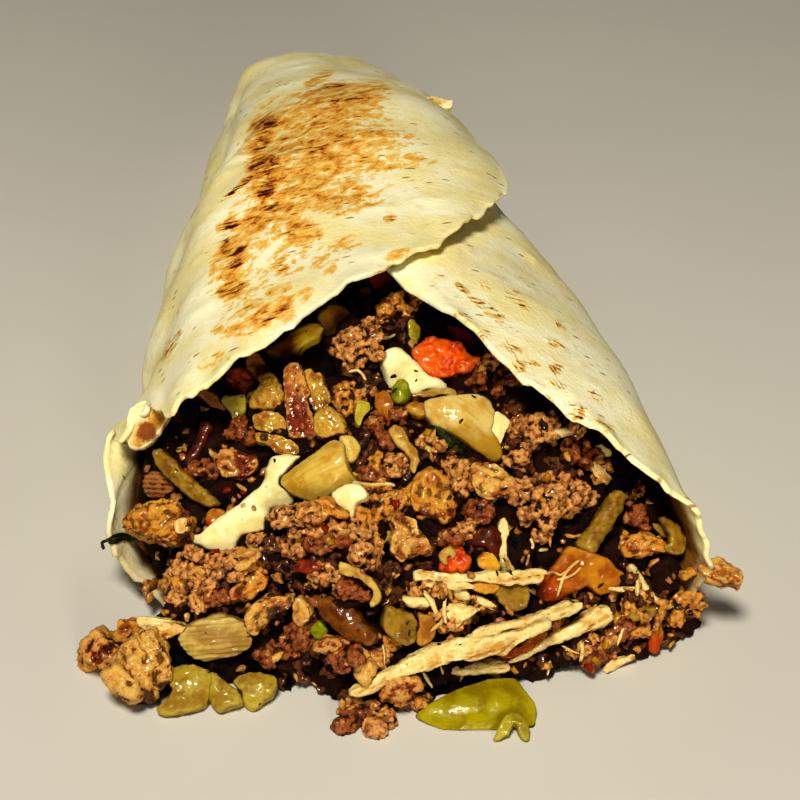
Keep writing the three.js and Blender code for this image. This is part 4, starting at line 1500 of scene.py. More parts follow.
RECIPES = {
    "chicken": Recipe("chicken", CHICKEN, 0.36, 2, MEAT_ROUGH),
    "chicken_pale": Recipe("chicken", CHICKEN_PALE, 0.36, 2, MEAT_ROUGH),
    "chunk": Recipe("chicken", CHICKEN, 0.36, 2, LUMPY_ROUGH),
    "chunk_pale": Recipe("chicken", CHICKEN_PALE, 0.36, 2, LUMPY_ROUGH),
    "chunk_two": Recipe("chicken", CHICKEN_TWO, 0.36, 2, LUMPY_ROUGH),
    "flake": Recipe("chicken", FLAKE, 0.32, 1, FLAKE_ROUGH),
    "flake_two": Recipe("chicken", CHICKEN_TWO, 0.32, 1, FLAKE_ROUGH),
    "chicken_red": Recipe("chicken", CHICKEN_RED, 0.36, 2, MEAT_ROUGH),
    "chicken_two": Recipe("chicken", CHICKEN_TWO, 0.36, 2, MEAT_ROUGH),
    "brown_slice": Recipe("chicken", BROWN_SLICE, rough=SKIN_ROUGH),
    "ribbed": Recipe("chicken", BROWN_SLICE, 0.3, 3, SOFT_ROUGH, 0.4),
    "strip": Recipe("strip", STRIP, 0.3, 2, STRIP_ROUGH),
    "bread": Recipe("tortilla", BREAD, 0.3, 8, (Rough(CLOUDS, 4, 0.8), Rough(CLOUDS, 1.2, 0.1))),
    "onion": Recipe("onion", ONION),
    "onion_band": Recipe("onion", ONION_BAND),
    "onion_green": Recipe("onion", ONION_GREEN),
    "onion_olive": Recipe("onion", ONION_OLIVE, rough=SEEDY_ROUGH),
    "onion_red": Recipe("onion", ONION_RED),
    "onion_amber": Recipe("onion", AMBER, rough=SKIN_ROUGH),
    "onion_dark": Recipe("onion", ONION_DARK, rough=SKIN_ROUGH),
    "onion_bright": Recipe("onion", YELLOW),
    "pepper": Recipe("pepper", GREEN),
    "pepper_pale": Recipe("pepper", GREEN_PALE, 0.3, 2, SKIN_ROUGH),
    "pepper_olive": Recipe("pepper", OLIVE, rough=SEEDY_ROUGH),
    "pepper_amber": Recipe("pepper", ORANGE, rough=SKIN_ROUGH),
    "pepper_yellow": Recipe("pepper", YELLOW, 0.3, 2, SKIN_ROUGH),
    "tomato": Recipe("tomato", TOMATO, rough=PULP_ROUGH),
    "tomato_dark": Recipe("tomato", TOMATO_DARK, rough=SKIN_ROUGH),
    "tomato_amber": Recipe("tomato", ORANGE, rough=SKIN_ROUGH),
    "shaded_slice": Recipe("tomato", SHADED_SLICE, rough=SKIN_ROUGH),
    "celery": Recipe("celery", CELERY, 0.24, 2, SOFT_ROUGH, 0.2),
    "curl": Recipe("onion", PEEL, 0.26, 3, (Rough(CLOUDS, 1.6, 0.5),)),
    "curl_olive": Recipe("onion", ONION_OLIVE, 0.26, 3, (Rough(CLOUDS, 1.6, 0.5),)),
    "scallion": Recipe("scallion", SCALLION, 0.26, 4, (Rough(CLOUDS, 1.6, 0.3),)),
    "sauce": Recipe("sauce", SAUCE, 0.34, 7, (Rough(CLOUDS, 4.5, 1.4),)),
    "herb": Recipe("scallion", HERB, 0.26, 2, (Rough(CLOUDS, 1.8, 1.2), Rough(CELLS, 1, -0.5))),
}


LEAN = 1.1  # how far a slab turns from the heap's slope towards the viewer; 1 is half-way
NODE_SHARE = 0.85  # the share of a CAD node's points that lie below its slab's upper face
NEAR_SHARE = 0.6  # which of the places under an outline carries its slab: 0 the farthest, 1 the nearest
PROUD_SHARE = 0.45  # the share of a slab with no node that stands out of what carries it
SWELL = 0.1  # how far a slab's skin is moved outwards to make up for its smoothing, in millimetres
RIB_TURN = 3.6  # half the waves' turn for each millimetre across a ribbed slab
HOLLOW = 0.3  # the depth in millimetres that counts as a full crevice of a slab


@dataclass(frozen=True)
class Slab:
    """A slice or a chunk whose outline is drawn as seen from before the mouth.

    Attributes:
        name: The CAD node that it replaces, or its own name where it has no node.
        look: The name of its recipe.
        thick, arch: Its thickness and how far its long sides bend down, in millimetres.
        outline: The corners of its upper face in the picture, x then y, one after another.
        cast: The direction in the picture towards its second colour.
        char: A burnt place in the picture: x, y and half-width.
    """

    name: str
    look: str
    thick: float
    arch: float
    outline: tuple[int, ...]
    cast: tuple[float, float] = (0.0, 1.0)
    char: tuple[int, int, int] = (0, 0, 1)

    def has_node(self) -> bool:
        """Returns whether the slab stands for a CAD node."""
        return self.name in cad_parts

    def lie(self, sight: Sight, heap: Heap, carrier: BVHTree | None) -> tuple[Array, Array]:
        """Works out the plane of the slab's upper face.

        Args:
            sight: The view in which the outline is drawn.
            heap: The heap that the slab lies on.
            carrier: The faces of what carries a slab with no node.

        Returns:
            A point of the plane in metres, and its normal.
        """
        spots = np.array(self.outline, dtype=float).reshape(-1, 2)
        if self.has_node():
            points = points_of(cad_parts[self.name])
            middle = points.mean(axis=0)
        else:
            found = [sight.meets(spot, carrier) for spot in (*spots, spots.mean(axis=0))]
            met = [one[0] for one in found if one is not None]
            met.sort(key=lambda place: float(place @ sight.back))
            middle = met[int(NEAR_SHARE * len(met))]
        x, y, _ = middle / MM - ROLL_SHIFT
        normal = heap.normal(float(x), float(y)) + LEAN * sight.back
        normal /= np.linalg.norm(normal)
        if self.has_node():
            return middle + normal * (np.quantile(points @ normal, NODE_SHARE) - middle @ normal), normal
        return middle + normal * (PROUD_SHARE * self.thick * MM), normal

    def rim(self, dice: Dice) -> Array:
        """Returns the outline with rounded and slightly ragged corners, in picture points."""
        corners = np.array(self.outline, dtype=float).reshape(-1, 2)
        before = np.roll(corners, 1, axis=0)
        after = np.roll(corners, -1, axis=0)
        beyond = np.roll(corners, -2, axis=0)
        rows = []
        for part in (0.0, 0.25, 0.5, 0.75):
            bent = corners * 2.0 + (after - before) * part
            bent = bent + (2.0 * before - 5.0 * corners + 4.0 * after - beyond) * part**2
            bent = 0.5 * (bent + (3.0 * corners - before - 3.0 * after + beyond) * part**3)
            rows.append(0.5 * (bent + corners + (after - corners) * part))
        rim = np.stack(rows, axis=1).reshape(-1, 2)
        return rim + dice.normal(scale=0.4, size=rim.shape)

    def build(self, sight: Sight, heap: Heap, carrier: BVHTree | None = None) -> Piece:
        """Returns the finished slab."""
        recipe = RECIPES[self.look]
        dice = np.random.default_rng(len(self.outline) + self.outline[0])
        middle, normal = self.lie(sight, heap, carrier)
        face = sight.on_plane(self.rim(dice), middle, normal)
        deselect_all()
        bpy.ops.mesh.primitive_circle_add(vertices=len(face), fill_type="NGON")
        piece = bpy.context.active_object
        piece.name = f"{self.name}_cooked" if self.has_node() else self.name
        move_points(piece, face)
        with edit_mode(piece):
            down = Vector(normal * (-self.thick * MM))
            bpy.ops.mesh.extrude_region_move(TRANSFORM_OT_translate={"value": down})
            bpy.ops.mesh.select_all(action="SELECT")
            bpy.ops.mesh.normals_make_consistent(inside=False)
        remesh(piece, recipe.voxel, recipe.soften, 0.6)
        finish_with(piece, "DISPLACE", strength=SWELL * MM, mid_level=0.0)
        self.bend(piece, normal)
        if recipe.ribs:
            self.cut_ribs(piece, recipe.ribs)
        for layer in recipe.rough:
            layer.shape(piece)
        keep_on_table(piece)
        self.dress(piece, sight, recipe)
        return piece

    def bend(self, piece: Piece, normal: Array) -> None:
        """Bends the slab's long sides and, half as much, its ends down, and crowns its middle."""
        points = points_of(piece)
        places = along_axes(points)
        reach = np.abs(places).max(axis=0)
        fall = (places[:, 1] / reach[1]) ** 2 + 0.5 * (places[:, 0] / reach[0]) ** 2
        move_points(piece, points + normal * ((0.3 - fall) * self.arch * MM)[:, None])

    def dress(self, piece: Piece, sight: Sight, recipe: Recipe) -> None:
        """Stores what the material reads and gives the slab its finish and body."""
        finish_piece(piece, recipe.finish, HOLLOW)
        seen = sight.seen_at(points_of(piece))
        along = seen @ (np.array(self.cast) / math.hypot(*self.cast))
        store(piece, "cast", (along - along.min()) / (along.max() - along.min()))
        across = np.abs(along_axes(points_of(piece))[:, :2])
        store(piece, "rim", np.hypot(*(across / across.max(axis=0)).T))
        burnt = np.hypot(seen[:, 0] - self.char[0], seen[:, 1] - self.char[1])
        store(piece, "char", bell(burnt, float(self.char[2])))
        if self.has_node():
            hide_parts(self.name)
        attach(piece, BODY)

    @staticmethod
    def cut_ribs(piece: Piece, depth: float) -> None:
        """Presses ribs along the piece's longest axis, a depth in millimetres."""
        points = points_of(piece)
        across = along_axes(points)[:, 1] / MM
        ribs = np.abs(np.sin(across * RIB_TURN)) - 0.5
        move_points(piece, points + normals_of(piece) * (ribs * depth * MM)[:, None])


SLABS = (
    Slab("strip_1", "strip", 1.9, 0.5, (414, 573, 420, 569, 444, 573, 461, 576, 493, 572, 524, 571, 546, 571,
        542, 581, 524, 583, 504, 584, 473, 581, 452, 583, 428, 580, 415, 581), cast=(0.02, 1)),
    Slab("strip_2", "strip", 2.3, 0.8, (351, 692, 371, 681, 400, 664, 428, 648, 452, 642, 477, 638, 499, 636,
        524, 630, 548, 622, 550, 627, 526, 640, 506, 654, 481, 660, 452, 662, 432, 671, 408, 674, 387, 683,
        369, 694, 352, 696), cast=(0.32, 0.95)),
    Slab("strip_3", "strip", 1.8, 0.5, (471, 638, 481, 628, 506, 624, 534, 616, 554, 607, 580, 602, 581, 610,
        559, 620, 534, 627, 510, 630, 485, 638), cast=(0.3, 0.95)),
    Slab("strip_4", "strip", 2.2, 0.8, (508, 660, 526, 651, 546, 638, 567, 628, 593, 611, 608, 608, 613, 616,
        606, 626, 587, 632, 571, 638, 550, 646, 526, 660, 512, 664), cast=(0.44, 0.9)),
    Slab("strip_5", "strip", 2, 0.5, (430, 671, 452, 666, 473, 662, 493, 658, 508, 662, 510, 671, 493, 675,
        473, 673, 452, 675, 432, 679)),
    Slab("pepper_1", "pepper", 2.6, 2.2, (416, 714, 438, 699, 461, 687, 493, 677, 514, 675, 526, 691,
        536, 705, 535, 724, 530, 730, 493, 730, 444, 730, 428, 722)),
    Slab("pepper_2", "pepper_pale", 1.8, 0.6, (493, 738, 504, 716, 512, 712, 520, 714, 528, 724, 530, 739,
        522, 738, 515, 722, 508, 734, 497, 739)),
    Slab("pepper_3", "pepper_olive", 3, 1.6, (166, 670, 184, 663, 196, 665, 209, 670, 211, 680, 206, 704,
        186, 711, 163, 714, 156, 709, 168, 696, 173, 688, 166, 680)),
    Slab("pepper_4", "pepper_olive", 2.6, 1.2, (210, 671, 219, 675, 236, 688, 244, 700, 236, 704, 218, 709,
        213, 704, 208, 696, 211, 683)),
    Slab("pepper_5", "pepper_olive", 2.6, 1.2, (233, 680, 244, 673, 257, 671, 274, 675, 277, 683, 269, 696,
        252, 708, 244, 701, 241, 690)),
    Slab("pepper_6", "pepper_amber", 2.4, 1.4, (556, 564, 571, 546, 587, 550, 606, 558, 620, 571, 628, 579,
        626, 587, 601, 595, 587, 585, 554, 601, 536, 597, 546, 577), cast=(-0.5, 0.85)),
    Slab("pepper_7", "onion_green", 1.6, 0.4, (220, 397, 230, 396, 244, 394, 245, 408, 241, 419, 234, 428,
        231, 414, 225, 404)),
    Slab("pepper_8", "pepper_yellow", 3, 0.5, (478, 560, 485, 552, 491, 552, 500, 564, 499, 571, 487, 571,
        479, 566)),
    Slab("tomato_1", "tomato", 4.5, 0.8, (413, 352, 426, 334, 444, 337, 463, 343, 466, 351, 479, 358,
        472, 368, 454, 374, 438, 377, 429, 374, 418, 363)),
    Slab("tomato_2", "tomato", 3.4, 0.8, (440, 562, 444, 550, 461, 547, 471, 556, 472, 569, 461, 575,
        448, 575, 441, 571)),
    Slab("tomato_3", "brown_slice", 2, 0.3, (244, 361, 256, 350, 268, 368, 257, 380, 250, 370)),
    Slab("tomato_4", "tomato_amber", 3, 1.2, (376, 394, 383, 388, 390, 393, 393, 404, 392, 416, 388, 424,
        381, 414, 375, 405)),
    Slab("onion_1", "onion", 3.4, 2.2, (277, 480, 284, 473, 302, 461, 322, 445, 330, 438, 341, 442, 343, 452,
        347, 469, 353, 480, 331, 491, 322, 498, 313, 501, 299, 498, 284, 489), cast=(0.3, 1)),
    Slab("onion_2", "onion_band", 3.4, 1.6, (424, 401, 441, 396, 466, 394, 484, 394, 492, 400, 495, 412,
        492, 430, 502, 447, 501, 458, 493, 460, 478, 450, 466, 441, 449, 430, 432, 423, 427, 412),
        cast=(-0.15, 1)),
    Slab("onion_3", "onion_olive", 3, 1.2, (578, 542, 596, 518, 607, 498, 617, 489, 627, 493, 624, 508,
        613, 525, 603, 539, 596, 553, 582, 547)),
    # its far colour paints the dark red at its left end: a red topping darkened as painted shade
    Slab("onion_4", "onion_red", 3, 1, (265, 349, 285, 337, 309, 322, 317, 322, 323, 328, 317, 336, 304, 344,
        296, 353, 286, 359, 273, 353), cast=(-1, 0.1)),
    Slab("onion_5", "onion_bright", 3, 1.4, (317, 314, 328, 305, 337, 304, 347, 308, 352, 317, 355, 325,
        349, 332, 344, 336, 337, 341, 328, 336, 322, 330, 321, 324)),
    Slab("onion_6", "onion_olive", 2.4, 0.6, (151, 454, 159, 449, 170, 458, 182, 470, 194, 481, 209, 493,
        217, 502, 206, 506, 188, 496, 173, 484, 159, 469)),
    Slab("onion_7", "onion_dark", 2.8, 1.4, (318, 600, 340, 597, 350, 606, 362, 622, 376, 636, 370, 646,
        350, 642, 330, 628, 318, 612)),
    Slab("onion_8", "onion_olive", 4, 0.6, (383, 626, 389, 607, 412, 614, 418, 622, 416, 640, 406, 646,
        391, 636)),
    Slab("onion_9", "onion_amber", 3.6, 0.4, (418, 614, 436, 618, 437, 628, 432, 642, 420, 646, 416, 638,
        420, 626)),
    Slab("onion_10", "onion_olive", 3.4, 0.4, (493, 589, 506, 585, 529, 586, 530, 597, 526, 609, 510, 611,
        499, 601)),
    Slab("onion_11", "onion_green", 3, 0.8, (355, 419, 356, 410, 360, 400, 368, 401, 371, 408, 364, 414,
        360, 425)),
    Slab("celery_1", "celery", 4.2, 1.6, (178, 638, 189, 626, 219, 616, 241, 622, 249, 632, 251, 646,
        236, 655, 203, 662, 186, 653)),
    Slab("curl_1", "curl", 1.6, 0.3, (389, 429, 396, 425, 403, 428, 409, 441, 418, 452, 418, 464, 415, 472,
        410, 469, 411, 460, 406, 451, 396, 442)),
    Slab("curl_2", "curl", 1.6, 0.3, (340, 562, 356, 569, 371, 579, 381, 595, 378, 604, 369, 606, 374, 593,
        361, 579, 340, 573)),
    Slab("curl_3", "curl_olive", 2, 0.4, (661, 517, 669, 519, 680, 526, 687, 542, 683, 553, 672, 554,
        664, 547, 670, 544, 672, 535, 666, 526)),
    Slab("scallion_1", "scallion", 2.4, 1.4, (392, 388, 398, 380, 404, 378, 410, 386, 410, 396, 398, 402,
        392, 396)),
    Slab("scallion_2", "scallion", 3, 0.6, (309, 630, 317, 622, 327, 630, 324, 638, 317, 640)),
    Slab("sauce_1", "sauce", 3.6, 1.6, (381, 357, 388, 348, 400, 345, 409, 352, 418, 364, 430, 375, 444, 380,
        447, 387, 430, 389, 411, 394, 389, 384, 385, 370)),
    Slab("sauce_2", "sauce", 3, 1, (496, 410, 502, 412, 511, 420, 507, 430, 502, 442, 493, 441, 492, 427)),
    Slab("sauce_3", "sauce", 3, 1.8, (272, 455, 301, 454, 288, 466, 278, 478, 281, 487, 294, 496, 289, 507,
        272, 506, 264, 522, 263, 530, 243, 533, 237, 542, 234, 550, 219, 551, 203, 545, 185, 542, 176, 536,
        180, 533, 197, 535, 206, 527, 220, 516, 237, 506, 252, 493, 263, 481, 268, 466)),
    Slab("sauce_4", "sauce", 3, 1, (331, 492, 341, 486, 356, 483, 365, 489, 368, 496, 357, 504, 353, 516,
        349, 517, 341, 508, 332, 500)),
    Slab("chicken_1", "chunk", 5.4, 2.2, (118, 516, 130, 510, 144, 502, 159, 501, 173, 502, 182, 510,
        185, 521, 182, 533, 173, 538, 157, 536, 142, 532, 130, 527, 121, 527), char=(125, 504, 10)),
    Slab("chicken_2", "chunk_pale", 7, 3.2, (108, 678, 118, 661, 120, 646, 131, 632, 141, 632, 153, 640,
        161, 651, 166, 665, 165, 680, 156, 690, 150, 700, 136, 704, 125, 704, 118, 693, 110, 686),
        char=(146, 699, 12)),
    Slab("chicken_3", "chunk_two", 6, 1.5, (80, 651, 85, 640, 93, 633, 103, 640, 113, 643, 115, 656, 110, 668,
        100, 669, 90, 663, 82, 658)),
    Slab("chicken_4", "strip", 3.2, 1, (136, 618, 150, 619, 170, 622, 186, 626, 183, 633, 163, 639, 150, 633,
        140, 626)),
    Slab("chicken_5", "flake", 4.6, 1.2, (257, 376, 269, 370, 277, 378, 284, 393, 283, 402, 273, 408,
        254, 409, 249, 405, 249, 396, 246, 392, 256, 388, 260, 382)),
    Slab("chicken_6", "chicken_red", 4, 0.6, (223, 373, 242, 365, 254, 380, 250, 389, 240, 393, 230, 384)),
    Slab("chicken_7", "flake_two", 5, 0.8, (283, 373, 285, 365, 290, 361, 297, 361, 302, 373, 306, 384,
        310, 392, 306, 397, 314, 424, 314, 435, 289, 435, 285, 410, 284, 397)),
    Slab("chicken_8", "flake", 4, 0.8, (304, 370, 310, 366, 314, 372, 320, 372, 324, 384, 328, 392, 329, 402,
        324, 410, 313, 409, 308, 397, 309, 389, 306, 380)),
    Slab("chicken_9", "flake", 4.4, 1, (314, 414, 324, 408, 329, 406, 339, 413, 344, 424, 343, 431, 330, 435,
        321, 437, 314, 432)),
    Slab("chicken_10", "flake", 3.8, 1, (252, 414, 264, 410, 277, 411, 285, 420, 285, 428, 277, 427, 270, 432,
        254, 427)),
    Slab("chicken_11", "flake", 3.2, 0.8, (250, 433, 257, 432, 269, 433, 282, 436, 293, 441, 298, 449,
        296, 453, 277, 453, 269, 445, 254, 439), char=(264, 437, 5)),
    Slab("chicken_12", "chicken_two", 4.4, 1, (211, 456, 220, 449, 232, 446, 243, 454, 255, 452, 258, 463,
        246, 476, 223, 475, 219, 466), cast=(1, 0.4)),
    Slab("chicken_13", "chicken_pale", 5.4, 1.6, (470, 467, 478, 460, 490, 461, 502, 467, 515, 475, 518, 485,
        513, 491, 499, 496, 487, 498, 478, 490, 472, 479)),
    Slab("chicken_14", "chunk", 6, 1.8, (413, 496, 418, 473, 430, 470, 447, 479, 455, 498, 456, 511, 444, 519,
        428, 514, 415, 507)),
    Slab("chicken_15", "chicken_pale", 5.4, 1.6, (393, 517, 401, 513, 413, 519, 420, 530, 429, 542, 434, 551,
        431, 554, 413, 554, 401, 560, 393, 551, 392, 539, 395, 527)),
    Slab("chicken_16", "chicken", 4.4, 1, (232, 590, 243, 579, 258, 571, 269, 579, 263, 590, 251, 599,
        231, 600)),
    Slab("chicken_17", "chicken_pale", 3.8, 0.6, (699, 560, 709, 560, 720, 555, 728, 561, 741, 567, 744, 577,
        742, 584, 729, 580, 714, 578, 702, 572)),
    Slab("curled_corner", "bread", 1.6, -1.6, (143, 402, 132, 411, 127, 425, 126, 439, 130, 448, 141, 449,
        152, 443, 160, 432, 167, 420, 173, 409, 160, 400), cast=(0.8, 0.6), char=(147, 432, 11)),
    Slab("torn_tab", "bread", 1.6, 0.3, (426, 97, 436, 95, 446, 98, 453, 99, 452, 107, 442, 107, 428, 106),
        (-1, 0)),
    Slab("chicken_lobe_1", "chunk_pale", 3.4, 1.4, (137, 634, 148, 633, 158, 645, 167, 660, 169, 676,
        160, 690, 151, 684, 154, 668, 147, 652), char=(166, 688, 9)),
    Slab("chicken_lobe_2", "chunk_pale", 3, 1.2, (107, 672, 117, 662, 128, 672, 138, 680, 142, 692, 132, 698,
        118, 694, 109, 684)),
    Slab("amber_slice", "chicken", 2.4, 0.6, (293, 504, 310, 501, 328, 498, 334, 504, 346, 511, 346, 519,
        328, 516, 313, 522, 299, 516)),
    Slab("chicken_ridge", "chicken", 3, 0.8, (118, 620, 123, 623, 136, 620, 141, 628, 131, 632, 120, 641,
        106, 638, 115, 630)),
    Slab("chicken_fold", "chicken_pale", 5, 1.2, (244, 620, 251, 607, 266, 600, 292, 598, 291, 607, 276, 615,
        266, 623, 257, 636, 249, 633), char=(276, 616, 12)),
    Slab("chicken_wedge", "chicken_pale", 4, 0.8, (291, 608, 299, 597, 306, 603, 310, 618, 302, 630,
        294, 622)),
    Slab("tomato_skin", "tomato_dark", 1.6, 0.5, (446, 325, 466, 328, 480, 348, 466, 351, 454, 338)),
    Slab("herb_leaf", "herb", 0.9, 1, (432, 423, 441, 426, 456, 436, 467, 447, 469, 458, 460, 462, 449, 453,
        440, 442, 437, 432)),
    Slab("pale_ribbon", "curl", 1.4, 0.3, (411, 394, 429, 390, 447, 387, 457, 392, 456, 395, 447, 393,
        429, 396, 412, 397)),
    Slab("amber_bead", "onion_amber", 2.2, 0.8, (405, 407, 414, 400, 426, 403, 428, 410, 421, 417, 411, 413)),
    Slab("olive_hook", "curl_olive", 1.4, 0.2, (653, 524, 661, 525, 670, 535, 666, 538, 659, 532)),
    Slab("amber_fold", "pepper_amber", 1.6, 0.5, (499, 657, 514, 650, 544, 630, 548, 636, 534, 648,
        510, 658)),
    Slab("pale_shred_7", "strip", 1.6, 0.4, (404, 597, 416, 599, 438, 597, 440, 605, 420, 609, 408, 607)),
    Slab("pale_shred_8", "strip", 1.2, 0.2, (424, 582, 444, 584, 471, 583, 473, 589, 444, 589, 426, 586)),
    Slab("pale_shred_9", "strip", 1.6, 0.3, (452, 589, 465, 587, 471, 595, 469, 601, 459, 602)),
    Slab("pale_shred_10", "strip", 1.8, 0.4, (440, 610, 456, 603, 473, 607, 479, 611, 465, 622, 452, 632,
        447, 632, 452, 622)),
    Slab("pale_shred_11", "strip", 1.2, 0.2, (471, 596, 485, 599, 497, 607, 496, 611, 485, 607, 473, 601)),
    Slab("yellow_chip", "pepper_yellow", 1.6, 0.4, (469, 585, 481, 582, 499, 584, 499, 590, 485, 594,
        473, 590)),
    Slab("red_slice_4", "tomato_dark", 2, 0.4, (370, 272, 400, 268, 402, 288, 384, 292, 372, 286)),
    Slab("green_seed", "pepper_pale", 1.8, 0.6, (408, 322, 413, 318, 420, 328, 417, 343, 411, 345, 408, 336)),
    Slab("onion_facet", "onion", 2, 0.4, (340, 437, 352, 436, 360, 445, 357, 458, 349, 462, 343, 450)),
    Slab("amber_cube", "pepper_amber", 3, 0.3, (206, 512, 212, 508, 224, 510, 226, 519, 219, 524, 206, 524)),
    Slab("red_slice_1", "shaded_slice", 1.6, 0.3, (168, 408, 178, 410, 192, 420, 190, 428, 176, 420,
        166, 412)),
    Slab("red_slice_2", "shaded_slice", 1.8, 0.3, (200, 420, 212, 424, 206, 440, 196, 458, 186, 467, 184, 460,
        192, 444, 198, 430)),
    Slab("brown_slice", "brown_slice", 1.8, 0.3, (196, 386, 210, 390, 226, 402, 224, 410, 208, 404,
        197, 394)),
    Slab("ribbed_chip", "ribbed", 2.4, 0.5, (146, 474, 170, 474, 172, 492, 160, 496, 144, 494)),
    Slab("meat_slice", "tomato_dark", 2, 0.4, (296, 561, 318, 560, 322, 568, 306, 574, 294, 570)),
    Slab("golden_chip_1", "chicken_pale", 2.4, 0.6, (232, 566, 236, 556, 256, 550, 260, 556, 252, 564,
        240, 569)),
    Slab("pale_chip_1", "strip", 2, 0.4, (177, 520, 186, 517, 188, 526, 184, 534, 176, 530)),
    Slab("crusty_fold", "chicken_two", 2.6, 0.8, (324, 638, 345, 640, 368, 650, 372, 658, 352, 664, 338, 662,
        326, 654, 312, 652, 316, 645), cast=(-0.4, -1)),
    Slab("golden_chip_2", "chicken", 2.2, 0.5, (385, 636, 397, 640, 404, 648, 396, 652, 384, 646)),
    Slab("golden_chip_3", "chicken_pale", 2.4, 0.5, (358, 664, 372, 662, 376, 676, 368, 688, 356, 676)),
    Slab("golden_chip_4", "chicken_two", 2.8, 0.6, (384, 682, 400, 676, 420, 676, 424, 690, 406, 700,
        388, 696)),
    Slab("amber_petal", "pepper_amber", 1.8, 0.6, (649, 640, 646, 628, 652, 618, 662, 622, 664, 636, 658, 652,
        650, 652)),
    Slab("olive_petal", "onion_olive", 1.6, 0.5, (628, 617, 640, 608, 657, 608, 652, 618, 636, 622)),
    Slab("pale_shred_1", "strip", 1.4, 0.3, (604, 672, 610, 662, 632, 654, 636, 658, 618, 668, 608, 676)),
    Slab("pale_shred_2", "strip", 1.4, 0.3, (628, 568, 634, 566, 645, 582, 661, 598, 658, 604, 640, 590)),
    Slab("pale_shred_3", "strip", 1.8, 0.3, (584, 458, 592, 456, 604, 470, 612, 478, 608, 485, 596, 475)),
    Slab("pale_shred_4", "strip", 1.2, 0.2, (595, 446, 603, 446, 612, 453, 609, 457, 599, 451)),
    Slab("pale_shred_5", "strip", 1.2, 0.2, (556, 430, 566, 427, 574, 426, 575, 431, 562, 436)),
    Slab("pale_shred_6", "strip", 1.6, 0.3, (498, 524, 506, 518, 509, 530, 507, 545, 510, 560, 514, 570,
        502, 571, 501, 556, 502, 538)),
    Slab("red_slice_3", "shaded_slice", 2.2, 0.6, (470, 544, 478, 530, 494, 526, 502, 532, 500, 552, 494, 560,
        488, 548, 478, 546)),
    Slab("pale_hook", "curl", 1.6, 0.3, (440, 561, 441, 551, 450, 547, 457, 553, 453, 559, 449, 554, 446, 557,
        447, 565)),
    Slab("golden_chip_5", "chicken", 2, 0.4, (683, 572, 694, 569, 698, 575, 686, 579)),
    Slab("golden_chunk", "chicken", 3.4, 1, (622, 548, 632, 536, 646, 533, 668, 540, 668, 551, 650, 553,
        640, 556, 626, 556)),
)


@dataclass(frozen=True)
class Thread:
    """A thin thread that lies on what carries it.

    Attributes:
        name, look: The piece's name and the name of its recipe.
        thick: Its thickness in millimetres.
        route: Its course in the picture, x then y, one after another.
        detail, sides: How many places it has for each point of the route, and faces round it.
        pulls: How many times it is pulled taut.
    """

    name: str
    look: str
    thick: float
    route: tuple[int, ...]
    detail: int = 5
    pulls: int = 12
    sides: int = 6

    def depths(self, sight: Sight, fine: Array, carrier: BVHTree) -> Array:
        """Works out how far from the eye a taut thread lies on what carries it.

        Args:
            sight: The view in which the route is drawn.
            fine: Close places along the route.
            carrier: The faces of what carries the thread.

        Returns:
            The distance of each place in metres.
        """
        found = [sight.meets(spot, carrier) for spot in fine]
        depths = [np.nan if one is None else -float((one[0] - sight.eye) @ sight.back) for one in found]
        far = np.array(depths)
        known = ~np.isnan(far)
        at = np.linspace(0.0, len(fine) / self.detail - 1.0, len(fine))
        far = np.interp(at, at[known], far[known])
        for _ in range(self.pulls):
            held = np.concatenate((far[:1], far, far[-1:]))
            far = np.minimum(far, 0.5 * (held[:-2] + held[2:])) * 0.5 + 0.25 * (held[:-2] + held[2:])
        return far

    def build(self, sight: Sight, carrier: BVHTree) -> Piece:
        """Returns the finished thread."""
        spots = np.array(self.route, dtype=float).reshape(-1, 2)
        at = np.linspace(0.0, len(spots) - 1.0, self.detail * len(spots))
        knots = np.arange(len(spots), dtype=float)
        fine = np.stack([SmoothCurve(*np.stack((knots, one), axis=1).flat)(at) for one in spots.T], axis=1)
        far = self.depths(sight, fine, carrier)
        path = sight.eye + sight.rays(fine) * (far - 0.5 * self.thick * MM)[:, None]
        deselect_all()
        bpy.ops.mesh.primitive_grid_add(x_subdivisions=len(path) - 1, y_subdivisions=self.sides, size=1.0)
        piece = bpy.context.active_object
        piece.name = self.name
        flat = points_of(piece)
        row = np.rint((flat[:, 0] + 0.5) * (len(path) - 1)).astype(int)
        angle = (flat[:, 1] + 0.5) * 2.0 * math.pi
        along = np.gradient(path, axis=0)
        along /= np.linalg.norm(along, axis=1, keepdims=True)
        aside = np.cross(along, sight.back)
        aside /= np.linalg.norm(aside, axis=1, keepdims=True)
        above = np.cross(aside, along)
        part = row / (len(path) - 1)
        radius = 0.5 * self.thick * MM * np.sqrt(np.clip(1.0 - (2.0 * part - 1.0) ** 8, 0.0, 1.0))
        ring = aside[row] * np.cos(angle)[:, None] + above[row] * np.sin(angle)[:, None]
        move_points(piece, path[row] + ring * radius[:, None])
        clean_up(piece, 0.002)
        keep_on_table(piece)
        finish_piece(piece, RECIPES[self.look].finish)
        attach(piece, BODY)
        return piece


